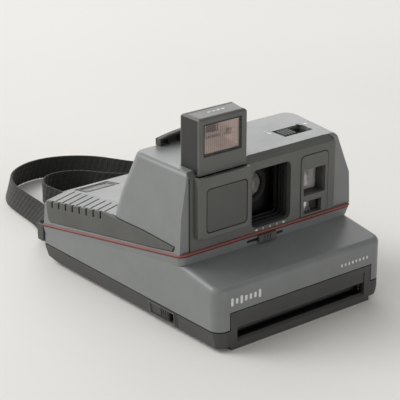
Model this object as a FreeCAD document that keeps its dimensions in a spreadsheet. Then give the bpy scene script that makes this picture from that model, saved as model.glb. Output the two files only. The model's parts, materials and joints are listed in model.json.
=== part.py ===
import FreeCAD, Part
import Sketcher
import math
import os
import re
from FreeCAD import Placement, Rotation, Vector

# Instant camera for integral film, as a bench assembly.
# Millimetres. +X is to the right as seen from the front, +Y runs from the front to the
# back, +Z is up. The origin is the middle of the flat base. "Depth" is the distance
# behind the front face of the film door, so y = front + depth.

SIZES = {
    # whole body
    "length": 158, "front": -79, "half_wide": 59, "rim_half": 60.5, "wall": 2.2, "seam_gap": 0.8,
    "base_lift": 2.4, "keel_half": 49.4,
    # front box, and the sloping rim that the red trim follows
    "seam": 11.8, "box_top": 35.2, "lip_depth": 27.4, "rim_front": 44.9, "rim_slope": 0.1728,
    "rim_drop": 4.7, "trim_thick": 2.1, "trim_half": 60.9, "trim_lip": 0.7,
    "rim_round": 4,
    # tower
    "face": 29, "tower_top": 90, "tower_back": 75.8, "tower_foot": 89.7, "corner_r": 7.6,
    "kink_half": 59.4, "kink_height": 66, "crown_half": 55,
    # rear deck
    "deck_high": 42, "deck_edge": 39.2, "deck_flat": 45, "deck_ref": 154.4,
    # ribs moulded across the deck's edges
    "rib_first": 98.3, "rib_pitch": 6.8, "rib_gap": 1.4, "rib_deep": 1.4, "rib_count": 8,
    # lens window
    "window_left": -12.5, "window_right": 15, "window_low": 49, "window_high": 82,
    "lens_x": 1.2, "lens_z": 66, "lens_r": 7.6,
    # block under the flash head, with the shutter button in it
    "block_left": -51.5, "block_right": -16.5, "block_low": 53, "block_high": 87.2,
    "block_face": 24, "button_left": -46, "button_right": -19.3, "button_low": 56.8,
    "button_high": 80.4, "button_gap": 0.55, "button_thick": 1.2,
    # dark face plate of the tower
    "bezel_left": -54, "bezel_right": 47.4, "bezel_gap": 0.4, "bezel_r": 6,
    # pop-up flash head, drawn up
    "head_left": -49.3, "head_right": -17.4, "head_flare": -14.8, "head_low": 87.5, "head_high": 118,
    "head_front": 27, "head_back": 42, "head_wall": 1.6, "head_gap": 0.4,
    "pane_left": -46, "pane_right": -20.8, "pane_low": 97.2, "pane_high": 114.6,
    # sliding lens cover
    "cover_front": 42.8, "cover_thick": 1.1, "cover_wide": 30,
    # viewfinder and light-meter panel
    "panel_left": 22.5, "panel_right": 42, "panel_low": 47.2, "panel_high": 82,
    "panel_gap": 0.5, "finder_left": 24.4, "finder_right": 40.2, "finder_low": 59, "finder_high": 74,
    "cell_left": 24.7, "cell_right": 37.6, "cell_low": 48.2, "cell_high": 55.5,
    # flash release on top
    "track_left": 22.6, "track_right": 43, "track_front": 41.5, "track_back": 53,
    # film door with its rollers
    "door_deep": 33.6, "door_half": 50, "door_top": 20.9, "door_wall": 2,
    "exit_half": 45.6, "exit_low": 5.2, "exit_high": 11.8, "door_gap": 0.6,
    "hinge_depth": 34, "hinge_height": 2.1, "pin_r": 0.9, "knuckle_r": 1.9, "fit": 0.05,
    "roller_r": 3.7, "roller_half": 44.2, "roller_depth": 10, "roller_low": 6.3, "roller_high": 13.8,
    "axle_r": 1, "gear_left": 45.9, "gear_right": 47.9,
    "small_teeth": 10, "small_gear": 3.75, "large_teeth": 20, "large_gear": 7.5,
    # strap of webbing, standing on its edge
    "strap_wide": 14, "strap_thick": 2,
}

doc = FreeCAD.newDocument("instant_camera")
sheet = doc.addObject("Spreadsheet::Sheet", "Spec")
for row, (alias, value) in enumerate(SIZES.items(), 1):
    sheet.set(f"A{row}", alias)
    sheet.set(f"B{row}", str(value))
    sheet.setAlias(f"B{row}", alias)
doc.recompute()

PARTS = {}


# ---------------------------------------------------------------- helpers

def cell(alias):
    """A driving size, as a number."""
    return float(getattr(sheet, alias))


def linked(text):
    """The same expression with each alias pointing at the sheet."""
    return re.sub(r"[a-z][a-z_0-9]*", lambda word: "Spec." + word.group(), str(text))


def number(value):
    """A number, or the size that an alias names."""
    return cell(value) if isinstance(value, str) else float(value)


def rim(depth):
    """Height of the sloping rim at a depth."""
    return cell("rim_front") - cell("rim_slope") * (depth - cell("lip_depth"))


def rim_text(depth, lift):
    """The rim's height as an expression, raised by lift."""
    return f"rim_front - rim_slope * ({depth} - lip_depth) + ({lift})"


def at(x, depth, z):
    """A point given by its depth behind the front face."""
    return Vector(x, cell("front") + depth, z)


def box(name, x, depth, z):
    """A block between a low and a high expression along each axis."""
    block = doc.addObject("Part::Box", name)
    for size, (low, high) in zip(("Length", "Width", "Height"), (x, depth, z)):
        block.setExpression(size, linked(f"({high}) - ({low})"))
    block.setExpression("Placement.Base.x", linked(x[0]))
    block.setExpression("Placement.Base.y", linked(f"front + ({depth[0]})"))
    block.setExpression("Placement.Base.z", linked(z[0]))
    return block


TURNS = {
    "x": Rotation(Vector(0, 1, 0), 90),
    "y": Rotation(Vector(1, 0, 0), -90),
    "z": Rotation(),
}


def rod(name, axis, radius, low, high, across):
    """A cylinder along an axis between low and high. across holds the other two places."""
    cylinder = doc.addObject("Part::Cylinder", name)
    cylinder.Placement = Placement(Vector(), TURNS[axis])
    cylinder.setExpression("Radius", linked(radius))
    cylinder.setExpression("Height", linked(f"({high}) - ({low})"))
    places = dict(zip([letter for letter in "xyz" if letter != axis], across))
    places[axis] = low
    places["y"] = f"front + ({places['y']})"
    for letter, place in places.items():
        cylinder.setExpression(f"Placement.Base.{letter}", linked(place))
    return cylinder


PLANES = {"x": "YZ_Plane", "y": "XZ_Plane", "z": "XY_Plane"}


def prism(name, axis, corners, low, high):
    """A PartDesign body: a closed outline padded along an axis from low to high.

    The outline is (depth, z) along x, (x, z) along y and (x, depth) along z.
    """
    body = doc.addObject("PartDesign::Body", name)
    sketch = body.newObject("Sketcher::SketchObject", name + "_outline")
    plane = next(item for item in body.Origin.OriginFeatures if item.Role == PLANES[axis])
    sketch.AttachmentSupport = [(plane, "")]
    sketch.MapMode = "FlatFace"
    if axis == "x":
        corners = [(f"front + ({u})", v) for u, v in corners]
    if axis == "z":
        corners = [(u, f"front + ({v})") for u, v in corners]
    ring = [number_of(corner) for corner in corners]
    for index, start in enumerate(ring):
        end = ring[(index + 1) % len(ring)]
        sketch.addGeometry(Part.LineSegment(Vector(*start, 0), Vector(*end, 0)))
    for index in range(len(ring)):
        following = (index + 1) % len(ring)
        sketch.addConstraint(Sketcher.Constraint("Coincident", index, 2, following, 1))
    for index, (corner, place) in enumerate(zip(corners, ring)):
        for kind, text, value in zip(("DistanceX", "DistanceY"), corner, place):
            dimension = sketch.addConstraint(Sketcher.Constraint(kind, -1, 1, index, 1, value))
            sketch.setExpression(f"Constraints[{dimension}]", linked(text))
    pad = body.newObject("PartDesign::Pad", name + "_pad")
    pad.Profile = sketch
    pad.setExpression("Length", linked(f"({high}) - ({low})"))
    if axis == "y":
        pad.Reversed = True
        sketch.setExpression("AttachmentOffset.Base.z", linked(f"-(front + ({low}))"))
    else:
        sketch.setExpression("AttachmentOffset.Base.z", linked(low))
    return body


def number_of(corner):
    """The two numbers that a corner's expressions come to."""
    return [float(sheet.evalExpression(linked(text))) for text in corner]


def fuse(name, shapes):
    joined = doc.addObject("Part::MultiFuse", name)
    joined.Shapes = shapes
    return joined


def common(name, first, second):
    shared = doc.addObject("Part::Common", name)
    shared.Base = first
    shared.Tool = second
    return shared


def cut(name, base, tools):
    """base less every tool."""
    result = doc.addObject("Part::Cut", name)
    result.Base = base
    result.Tool = tools[0] if len(tools) == 1 else fuse(name + "_tools", tools)
    return result


def rounded(name, base, radius, chosen):
    """base with a fillet on each edge that chosen(edge) accepts."""
    doc.recompute()
    fillet = doc.addObject("Part::Fillet", name)
    fillet.Base = base
    size = number(radius)
    edges = [(index, size, size) for index, edge in enumerate(base.Shape.Edges, 1) if chosen(edge)]
    if not edges:
        raise SystemExit(f"{name}: no edge to round")
    fillet.Edges = edges
    return fillet


def direction(edge):
    """Unit vector along a straight edge, or None."""
    if not isinstance(edge.Curve, (Part.Line, Part.LineSegment)):
        return None
    return (edge.Vertexes[-1].Point - edge.Vertexes[0].Point).normalize()


def runs_along(edge, axis, slack=0.05):
    """True for a straight edge that follows an axis."""
    way = direction(edge)
    return way is not None and abs(abs(getattr(way, axis)) - 1) < slack


def depth_of(edge):
    return edge.CenterOfMass.y - cell("front")


def feature(name, shape):
    """A shape made by Part's own functions, as an object of the document."""
    item = doc.addObject("Part::Feature", name)
    item.Shape = shape
    return item


def slab(x_half, depth_low, depth_high, lift, thick):
    """A plate that lies along the sloping rim, lift above it."""
    corners = [(-x_half, depth_low), (x_half, depth_low), (x_half, depth_high), (-x_half, depth_high)]
    points = [at(x, depth, rim(depth) + lift) for x, depth in corners]
    face = Part.Face(Part.makePolygon(points + points[:1]))
    return face.extrude(Vector(0, 0, thick))


def sheared(section, depth_low, depth_high):
    """A cross-section (x, z), given at deck_ref, carried along the slope of the rim."""
    slope = cell("rim_slope")
    rise = slope * (cell("deck_ref") - depth_low)
    points = [at(x, depth_low, z + rise) for x, z in section]
    run = depth_high - depth_low
    face = Part.Face(Part.makePolygon(points + points[:1]))
    return face.extrude(Vector(0, run, -slope * run))


def gear(teeth, pitch, first, centre, bore):
    """A spur gear about X. first is the angle of one tooth from +Y, in degrees."""
    step = 360.0 / teeth
    module = 2 * pitch / teeth
    root = pitch - 1.15 * module
    tip = pitch + 0.85 * module
    points = []
    for tooth in range(teeth):
        middle = first + tooth * step
        for radius, offset in ((root, -0.31), (tip, -0.11), (tip, 0.11), (root, 0.31)):
            angle = math.radians(middle + offset * step)
            points.append(at(cell("gear_left"), centre[0] + radius * math.cos(angle),
                             centre[1] + radius * math.sin(angle)))
    wide = cell("gear_right") - cell("gear_left")
    blank = Part.Face(Part.makePolygon(points + points[:1])).extrude(Vector(wide, 0, 0))
    hole = Part.makeCylinder(bore, wide + 2, at(cell("gear_left") - 1, *centre), Vector(1, 0, 0))
    return blank.cut(hole)


def meshing_tooth(line, first, teeth, pitch, other_teeth, other_pitch):
    """Angle of a tooth on the other gear, whose centre lies along line from this one."""
    step = 360.0 / teeth
    nearest = first + round((line - first) / step) * step
    gap = line + 180 - (nearest - line) * pitch / other_pitch
    return gap + 180.0 / other_teeth


def node(name, item):
    """Name a finished sub-part."""
    item.Label = name
    PARTS[name] = item
    return item


# ---------------------------------------------------------------- outer shells

# Cross-section of the base, the same in the tray and the film door. It stands on a wide flat
# keel, its edges are raised, and its right side leans in more than its left.
BASE_SECTION = [
    ("-half_wide", "seam - seam_gap"), ("0.4 - half_wide", 9), ("1.2 - half_wide", "base_lift"),
    ("-keel_half", "base_lift"), ("-keel_half", 0), ("keel_half", 0), ("keel_half", "base_lift"),
    ("half_wide - 5.4", "base_lift + 0.3"), ("half_wide", 10), ("half_wide", "seam - seam_gap"),
]


def bottom_shell():
    """Black tray under the body: floor, sides and back, open at the front."""
    across = prism("tray_section", "y", BASE_SECTION, "door_deep + 0.4", "length + 2")
    side = prism("tray_side", "x", [("door_deep + 0.4", 0), ("length - 10", 0),
                                    ("length - 9.7", "base_lift"), ("length - 2", "base_lift + 1.4"),
                                    ("length", 9), ("length", "seam - seam_gap"),
                                    ("door_deep + 0.4", "seam - seam_gap")], -60, 60)
    outer = common("tray_outer", across, side)
    hollow = [("half_wide - wall", 14), ("half_wide - wall", 10.6), ("half_wide - 6.2", 4.8),
              ("keel_half - 1.4", 4.8), ("keel_half - 1.4", "wall"), ("1.4 - keel_half", "wall"),
              ("1.4 - keel_half", 4.8), ("wall + 1 - half_wide", 4.8), ("wall + 0.4 - half_wide", 9),
              ("wall - half_wide", 14)]
    inside = prism("tray_hollow", "y", hollow, 30, "length - 10")
    mouth = box("tray_mouth", ("-door_half - 2", "door_half + 2"), (30, 37), (-1, 3.2))
    pocket = box("latch_pocket", (-62, -54), (36.2, 57), (3.9, 10))
    base = cut("tray_cut", outer, [inside, mouth, pocket])
    knuckles = [rod(f"tray_knuckle_{side}", "x", "knuckle_r", low, high, ("hinge_depth", "hinge_height"))
                for side, low, high in (("left", -49, -40.2), ("right", 40.2, 49))]
    webs = [box(f"tray_web_{side}", (low, high), ("hinge_depth", 38), (0.2, 2.2))
            for side, low, high in (("left", -49, -40.2), ("right", 40.2, 49))]
    joined = fuse("tray_joined", [base] + knuckles + webs)
    bore = rod("tray_bore", "x", "pin_r + fit", -50, 50, ("hinge_depth", "hinge_height"))
    node("bottom_shell", cut("tray", joined, [bore]))


def lower_shell():
    """Grey middle of the body: front box, side walls and back, flaring out to the rim."""
    outline = [(0, "seam"), (0, "box_top"), (28.5, rim_text(28.5, "-rim_drop")),
               ("length - 0.8", rim_text("(length - 0.8)", "-rim_drop")), ("length", "seam")]
    block = prism("middle_block", "x", outline, "-half_wide", "half_wide")
    soft = rounded("middle_corners", block, 6.5, lambda edge: runs_along(edge, "z")
                   and depth_of(edge) < 1)
    soft = rounded("middle_brow", soft, 3.5, lambda edge: runs_along(edge, "x")
                   and depth_of(edge) < 1 and edge.CenterOfMass.z > 30)
    half, high = cell("half_wide"), cell("rim_half")
    drop = cell("rim_drop")

    def ring(x_half, low, far, lift):
        corners = [(-x_half, low), (x_half, low), (x_half, far), (-x_half, far)]
        points = [at(x, depth, rim(depth) + lift) for x, depth in corners]
        return Part.makePolygon(points + points[:1])
    flare = Part.makeLoft([ring(half, 28.5, cell("length") - 0.8, -drop),
                           ring(high, cell("lip_depth"), cell("length") - 1.6, 0)], True, True)
    front_corners = [edge for edge in flare.Edges if depth_of(edge) < 30 and not runs_along(edge, "x")
                     and abs(edge.CenterOfMass.x) > half and edge.Length < 2 * drop]
    flare = flare.makeFillet(cell("rim_round"), front_corners)
    rim_band = feature("rim_band", flare)
    solid = fuse("middle_solid", [soft, rim_band])
    hollow = prism("middle_hollow", "x", [("wall", 10), ("wall", "box_top - 2.4"), (31, 38.6),
                                          (31, 48), ("length - 4.6", 30), ("length - 4.6", 10)],
                   "wall - half_wide", "half_wide - wall")
    notch = box("door_notch", ("-door_half - door_gap", "door_half + door_gap"), (-1, 4),
                (10, "door_top + door_gap"))
    slot = box("exposure_slot", (-15.7, 9.9), (20, 34), (41.7, 43.5))
    node("lower_shell", cut("middle", solid, [hollow, notch, slot]))


def red_trim():
    """Thin red line between the middle of the body and the upper cover."""
    half, thick, lip = cell("trim_half"), cell("trim_thick"), cell("trim_lip")
    front, far = cell("lip_depth") - 0.5, cell("length") - 1.2
    def round_front(plate, radius):
        upright = [edge for edge in plate.Edges if runs_along(edge, "z") and depth_of(edge) < front + 2]
        return plate.makeFillet(radius, upright)
    foot = round_front(slab(half - 0.5, front + 0.5, far - 0.2, 0, lip), cell("rim_round") - 0.5)
    band = round_front(slab(half, front, far, lip, thick - lip), cell("rim_round"))
    brow = [edge for edge in band.Edges if edge.CenterOfMass.z > rim(depth_of(edge)) + thick - 0.2
            and depth_of(edge) < far - 1]
    hole = slab(half - 3.2, 31, far - 3.4, -1, thick + 2)
    node("red_trim", feature("trim", band.makeChamfer(0.6, brow).fuse(foot).removeSplitter().cut(hole)))


def cover_section(inset):
    """Half-widths of the tower against height, moved in by inset."""
    right = [("rim_half", 25), ("rim_half", 46), ("kink_half", "kink_height"), ("crown_half", 92)]
    right = [(f"{x} - {inset}", z) for x, z in right]
    return right + [(f"-({x})", z) for x, z in reversed(right)]


def deck_section(inset):
    """Cross-section of the rear deck at deck_ref, moved in by inset."""
    rim_half, flat = cell("rim_half"), cell("deck_flat")
    low = rim(cell("deck_ref")) + cell("trim_thick") - (3 if inset else 0)
    edge, high = cell("deck_edge") - inset, cell("deck_high") - inset
    right = [(rim_half - inset, low), (rim_half - inset, edge - 1.6), (rim_half - 1.3 - inset, edge),
             (flat, high)]
    return right + [(-x, z) for x, z in reversed(right)]


GRIP_TOP = [(33.4, 49.6), (60, 50.6), (95.8, 50.2), (152.2, 40.0)]
GRIP_FOOT = [(150.7, 29.2), (148.7, 27.9), (99, 35.9), (53.4, 43.7), (34.6, 47.2)]


def grip_outline(grow):
    """The side grip's outline, moved out by grow."""
    middle = (GRIP_TOP[0][0] + GRIP_TOP[-1][0]) / 2
    grown = [(depth + math.copysign(grow, depth - middle), z + grow) for depth, z in GRIP_TOP]
    return grown + [(depth + math.copysign(grow, depth - middle), z - grow) for depth, z in GRIP_FOOT]


def tower_side(name):
    """The tower seen from the side, from the red trim up, as a block as wide as the body."""
    outline = [("face", rim_text("face", "trim_thick")), ("face", 88), (31, "tower_top"),
               ("tower_back", "tower_top"), ("tower_foot", 53),
               ("tower_foot", rim_text("tower_foot", "trim_thick"))]
    return prism(name, "x", outline, -64, 64)


def shoulder(inset):
    """What is cut off the tower's right shoulder: all that lies outside a leaning plane.

    The shoulder is widest at the front and runs out towards the back.
    """
    front_top, front_low, back_top = at(49.5, 29.6, 89), at(59.2, 30, 66), at(56.9, 77.1, 89)
    outward = (front_low - front_top).cross(back_top - front_top).normalize()
    along = (back_top - front_top).normalize()
    down = along.cross(outward)
    middle = front_top - outward * inset
    corners = [middle + along * u + down * v for u, v in ((-60, -60), (120, -60), (120, 60), (-60, 60))]
    return Part.Face(Part.makePolygon(corners + corners[:1])).extrude(outward * 40)


def is_back_corner(edge):
    """True for the tower's edges between its sides and its back."""
    if direction(edge) is None or runs_along(edge, "x") or runs_along(edge, "y"):
        return False
    return all(vertex.Point.y - cell("front") > cell("tower_back") - 3 for vertex in edge.Vertexes)


def upper_cover():
    """Grey cover: the tower that carries the optics, and the sloping rear deck."""
    across = prism("tower_across", "y", cover_section(0), 20, 100)
    tower = common("tower_block", tower_side("tower_side"), across)
    tower = rounded("tower_corners", tower, "corner_r", is_back_corner)
    tower = cut("tower_shouldered", tower, [feature("shoulder_cut", shoulder(0))])
    tower = rounded("tower_crown", tower, 3, lambda edge: runs_along(edge, "y")
                    and edge.CenterOfMass.z > 86)
    deck = feature("deck_block", sheared(deck_section(0), 80, 160))
    deck_side = prism("deck_side", "x", [(60, 20), (60, 62), ("length - 4.3", 62),
                                         ("length - 4.3", "deck_high"), ("length - 1.4", 20)], -64, 64)
    trimmed = common("deck_trimmed", deck, deck_side)
    solid = fuse("cover_solid", [tower, trimmed])
    room = [(31.2, 30), (31.2, 85.8), (33, "tower_top - 2.4"), ("tower_back - 1.8", "tower_top - 2.4"),
            ("tower_foot - 2.6", 51), ("tower_foot - 2.6", 30)]
    inner_side = prism("tower_hollow_side", "x", room, -64, 64)
    inner_across = prism("tower_hollow_across", "y", cover_section(2.2), 20, 100)
    tower_hollow = common("tower_hollow_block", inner_side, inner_across)
    tower_hollow = rounded("tower_hollow_soft", tower_hollow, 5.4, is_back_corner)
    tower_hollow = cut("tower_hollow", tower_hollow, [feature("shoulder_inner", shoulder(2.2))])
    deck_hollow = feature("deck_hollow", sheared(deck_section(2.2), 40, cell("length") - 6.6))
    opening = bezel_shape("bezel_opening", "bezel_gap", 20, 31.2)
    behind = box("bezel_behind", ("bezel_left", "bezel_right - 4"), (30, 31.4), (40, 85))
    flash_well = prism("flash_well", "z", head_plan("head_gap"), 50, 95)
    track = box("track_opening", ("track_left", "track_right"), ("track_front", "track_back"), (80, 95))
    eyehole = box("eye_opening", (26, 39.5), (70, 95), (61, 73))
    inset = feature("deck_recess", deck_panel_shape(0, -1.3, 3))
    grooves = feature("rib_grooves", rib_grooves())
    pockets = [prism(f"grip_pocket_{side}", "x", grip_outline(0.45), low, high)
               for side, low, high in (("left", -66, "1.5 - rim_half"), ("right", "rim_half - 1.5", 66))]
    openings = [tower_hollow, deck_hollow, opening, behind, flash_well, track, eyehole, inset, grooves]
    node("upper_cover", cut("cover", solid, openings + pockets))


def rib_grooves():
    """Eight grooves across each edge of the deck, a little longer towards the front.

    Each runs out through the side in a notch, which cuts the grip plate too.
    """
    grooves = []
    deep, flat = cell("rib_deep"), cell("deck_flat")
    for index in range(int(cell("rib_count"))):
        depth = cell("rib_first") + index * cell("rib_pitch")
        inner = flat - 1 + 0.6 * (cell("rib_count") - index)
        notch, end = cell("deck_edge") - 3.4, cell("rim_half") - 1.6
        section = [(66, notch), (end, notch), (end, cell("deck_edge") - deep - 0.9),
                   (inner, cell("deck_high") - deep), (inner, 46), (66, 46)]
        for side in (-1, 1):
            shape = [(side * x, z) for x, z in section]
            grooves.append(sheared(shape, depth - cell("rib_gap") / 2, depth + cell("rib_gap") / 2))
    return Part.makeCompound(grooves)


def deck_panel_shape(shrink, low, high):
    """Inset panel near the back of the deck, between two heights above its surface."""
    left, right = -43 + shrink, -19 - shrink
    top = cell("deck_high")
    section = [(left, top + low), (right, top + low), (right, top + high), (left, top + high)]
    return sheared(section, 137 + shrink, 150.3 - shrink)


def deck_panel():
    node("deck_panel", feature("inset_panel", deck_panel_shape(0.2, -1.3, -0.4)))


def side_grips():
    """Dark grip plates let into both sides of the cover."""
    for side, low, high in (("left", "-rim_half - 0.6", "1.5 - rim_half"),
                            ("right", "rim_half - 1.5", "rim_half + 0.6")):
        plate = prism(f"grip_{side}_plate", "x", grip_outline(0), low, high)
        notches = feature(f"grip_{side}_notches", rib_grooves())
        node(f"grip_{side}", cut(f"grip_{side}_cut", plate, [notches]))


def bezel_shape(name, grow, low, high):
    """The face plate's outline seen from the front, moved out by grow, with a round right shoulder."""
    plate = box(name + "_plain", (f"bezel_left - {grow}", f"bezel_right + {grow}"), (low, high),
                (40, f"tower_top + {grow}"))
    return rounded(name, plate, "bezel_r", lambda edge: runs_along(edge, "y")
                   and edge.CenterOfMass.z > 80 and edge.CenterOfMass.x > 0)


def front_bezel():
    """Dark face plate of the tower, with its windows, bevelled along the top."""
    foot = rim_text(28, "trim_thick")
    side = prism("bezel_side", "x", [(28, foot), (28, 86.4), (30.9, "tower_top - 0.1"), (30.9, foot)],
                 -60, 60)
    plate = common("bezel_plate", side, bezel_shape("bezel_front", "0", 20, 40))
    window = box("lens_opening", ("window_left", "window_right"), (20, 40), ("window_low", "window_high"))
    window = rounded("lens_opening_soft", window, 3.5, lambda edge: runs_along(edge, "y"))
    panel = box("panel_opening", ("panel_left - panel_gap", "panel_right + panel_gap"), (20, 40),
                (40, "panel_high + panel_gap"))
    panel = rounded("panel_opening_soft", panel, 2.8, lambda edge: runs_along(edge, "y")
                    and edge.CenterOfMass.z > 60)
    well = box("bezel_well", ("head_left - head_gap", "head_right + head_gap"), (20, 40),
               ("block_low + 3", 95))
    node("front_bezel", cut("bezel", plate, [window, panel, well]))


def finder_panel():
    """Panel with the viewfinder window above the light-meter window."""
    plate = box("panel_plate", ("panel_left", "panel_right"), (27.7, 30.6), ("panel_low", "panel_high"))
    plate = rounded("panel_soft", plate, 2.6, lambda edge: runs_along(edge, "y")
                    and edge.CenterOfMass.z > 60)
    upper = box("finder_hole", ("finder_left", "finder_right"), (20, 40), ("finder_low", "finder_high"))
    lower = box("cell_hole", ("cell_left", "cell_right"), (20, 40), ("cell_low", "cell_high"))
    node("finder_panel", cut("panel", plate, [upper, lower]))


# ---------------------------------------------------------------- shutter button and flash

def shutter_block():
    """Raised housing under the flash head. The head slides down behind its front wall."""
    block = box("block_outer", ("block_left", "block_right"), ("block_face", 28),
                ("block_low", "block_high"))
    block = rounded("block_soft", block, 3, lambda edge: runs_along(edge, "y")
                    and edge.CenterOfMass.z < 60)
    block = rounded("block_edges", block, 1.2, lambda edge: edge.CenterOfMass.z < cell("block_high") - 0.5
                    and abs(depth_of(edge) - cell("block_face")) < 0.01)
    well = box("block_well", ("head_left - head_gap", "head_right + head_gap"), (26.4, 40),
               ("block_low + 3", 95))
    gap = "button_gap"
    seat = box("button_seat", (f"button_left - {gap}", f"button_right + {gap}"), (20, 30),
               (f"button_low - {gap}", f"button_high + {gap}"))
    seat = rounded("button_seat_soft", seat, 2.4, lambda edge: runs_along(edge, "y"))
    node("shutter_block", cut("block", block, [well, seat]))


def shutter_button():
    pad = box("button_pad", ("button_left", "button_right"),
              ("block_face + 0.1", "block_face + 0.1 + button_thick"), ("button_low", "button_high"))
    node("shutter_button", rounded("button_soft", pad, 2.2, lambda edge: runs_along(edge, "y")))
    leaf = box("button_leaf", ("button_left - button_gap", "button_right + button_gap"),
               ("block_face + 1.95", "block_face + 2.35"), (66, 71))
    node("button_spring", leaf)


def head_plan(grow):
    """The flash head seen from above, moved out by grow. It widens towards the back."""
    left, right, flare = f"head_left - {grow}", f"head_right + {grow}", f"head_flare + {grow}"
    front, back = f"head_front - {grow}", f"head_back + {grow}"
    return [(left, front), (right, front), (right, 31), (flare, back), (left, back)]


def flash_head():
    """Pop-up flash: case, window, reflector, tube and the carriage it slides on."""
    case = prism("head_outer", "z", head_plan("0"), "head_low", "head_high")
    case = rounded("head_soft", case, 1.8, lambda edge: edge.CenterOfMass.z > cell("head_high") - 0.1)
    thin = "head_wall"
    hollow = box("head_hollow", (f"head_left + {thin}", f"head_right - {thin}"),
                 (f"head_front + {thin}", f"head_back - {thin}"), ("head_low + 1.6", f"head_high - {thin}"))
    pane = box("head_pane_hole", ("pane_left", "pane_right"), (20, 30), ("pane_low", "pane_high"))
    node("flash_case", cut("head_case", case, [hollow, pane]))
    node("flash_window", box("head_pane", ("pane_left + 0.1", "pane_right - 0.1"),
                             ("head_front + 0.3", "head_front + 1.6"),
                             ("pane_low + 0.1", "pane_high - 0.1")))
    trough = prism("reflector_outer", "x", [(28.9, 98), (28.9, 114), (36, 110.5), (39, 106), (36, 101.5)],
                   "pane_left + 0.6", "pane_right - 0.6")
    dish = prism("reflector_inner", "x", [(28, 98.9), (28, 113.1), (35.6, 109.8), (38, 106), (35.6, 102.2)],
                 "pane_left + 1.4", "pane_right - 1.4")
    node("flash_reflector", cut("reflector", trough, [dish]))
    tube = rod("tube_glass", "x", 1.6, "pane_left + 1.5", "pane_right - 1.5", (33.2, 106))
    node("flash_tube", tube)
    back = box("carriage_back", (-46.5, -21), (40, 41.7), (60, "head_low"))
    left = box("carriage_left", (-46.5, -44.5), (37, 41.7), (60, "head_low"))
    right = box("carriage_right", (-23, -21), (37, 41.7), (60, "head_low"))
    head = box("carriage_top", (-46.5, -21), (33, 41.7), (85, "head_low"))
    node("flash_carriage", fuse("carriage", [back, left, right, head]))
    helix = Part.makeHelix(3.4, 48.4, 2.6)
    start = Part.Wire(Part.makeCircle(0.35, Vector(2.6, 0, 0), Vector(0, 1, 0)))
    coil = Part.Wire(helix).makePipeShell([start], True, True)
    coil.translate(at(-33.7, 36.6, 35.8))
    node("flash_spring", feature("lift_spring", coil))
    seat = box("spring_seat", (-40, -27), (31.3, 39.7), (33.5, 35.3))
    stem = box("spring_stem", (-35, -32), (31.3, 34), (25.8, 33.5))
    node("spring_bracket", fuse("bracket", [seat, stem]))


def lens_cover():
    """Sliding cover that closes the lens window as the flash goes down."""
    plate = box("cover_plate", ("window_left - cover_wide - 2", "window_left - 2"),
                ("cover_front", "cover_front + cover_thick"), (49.5, 82.5))
    node("lens_cover", plate)


# ---------------------------------------------------------------- optics

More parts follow.
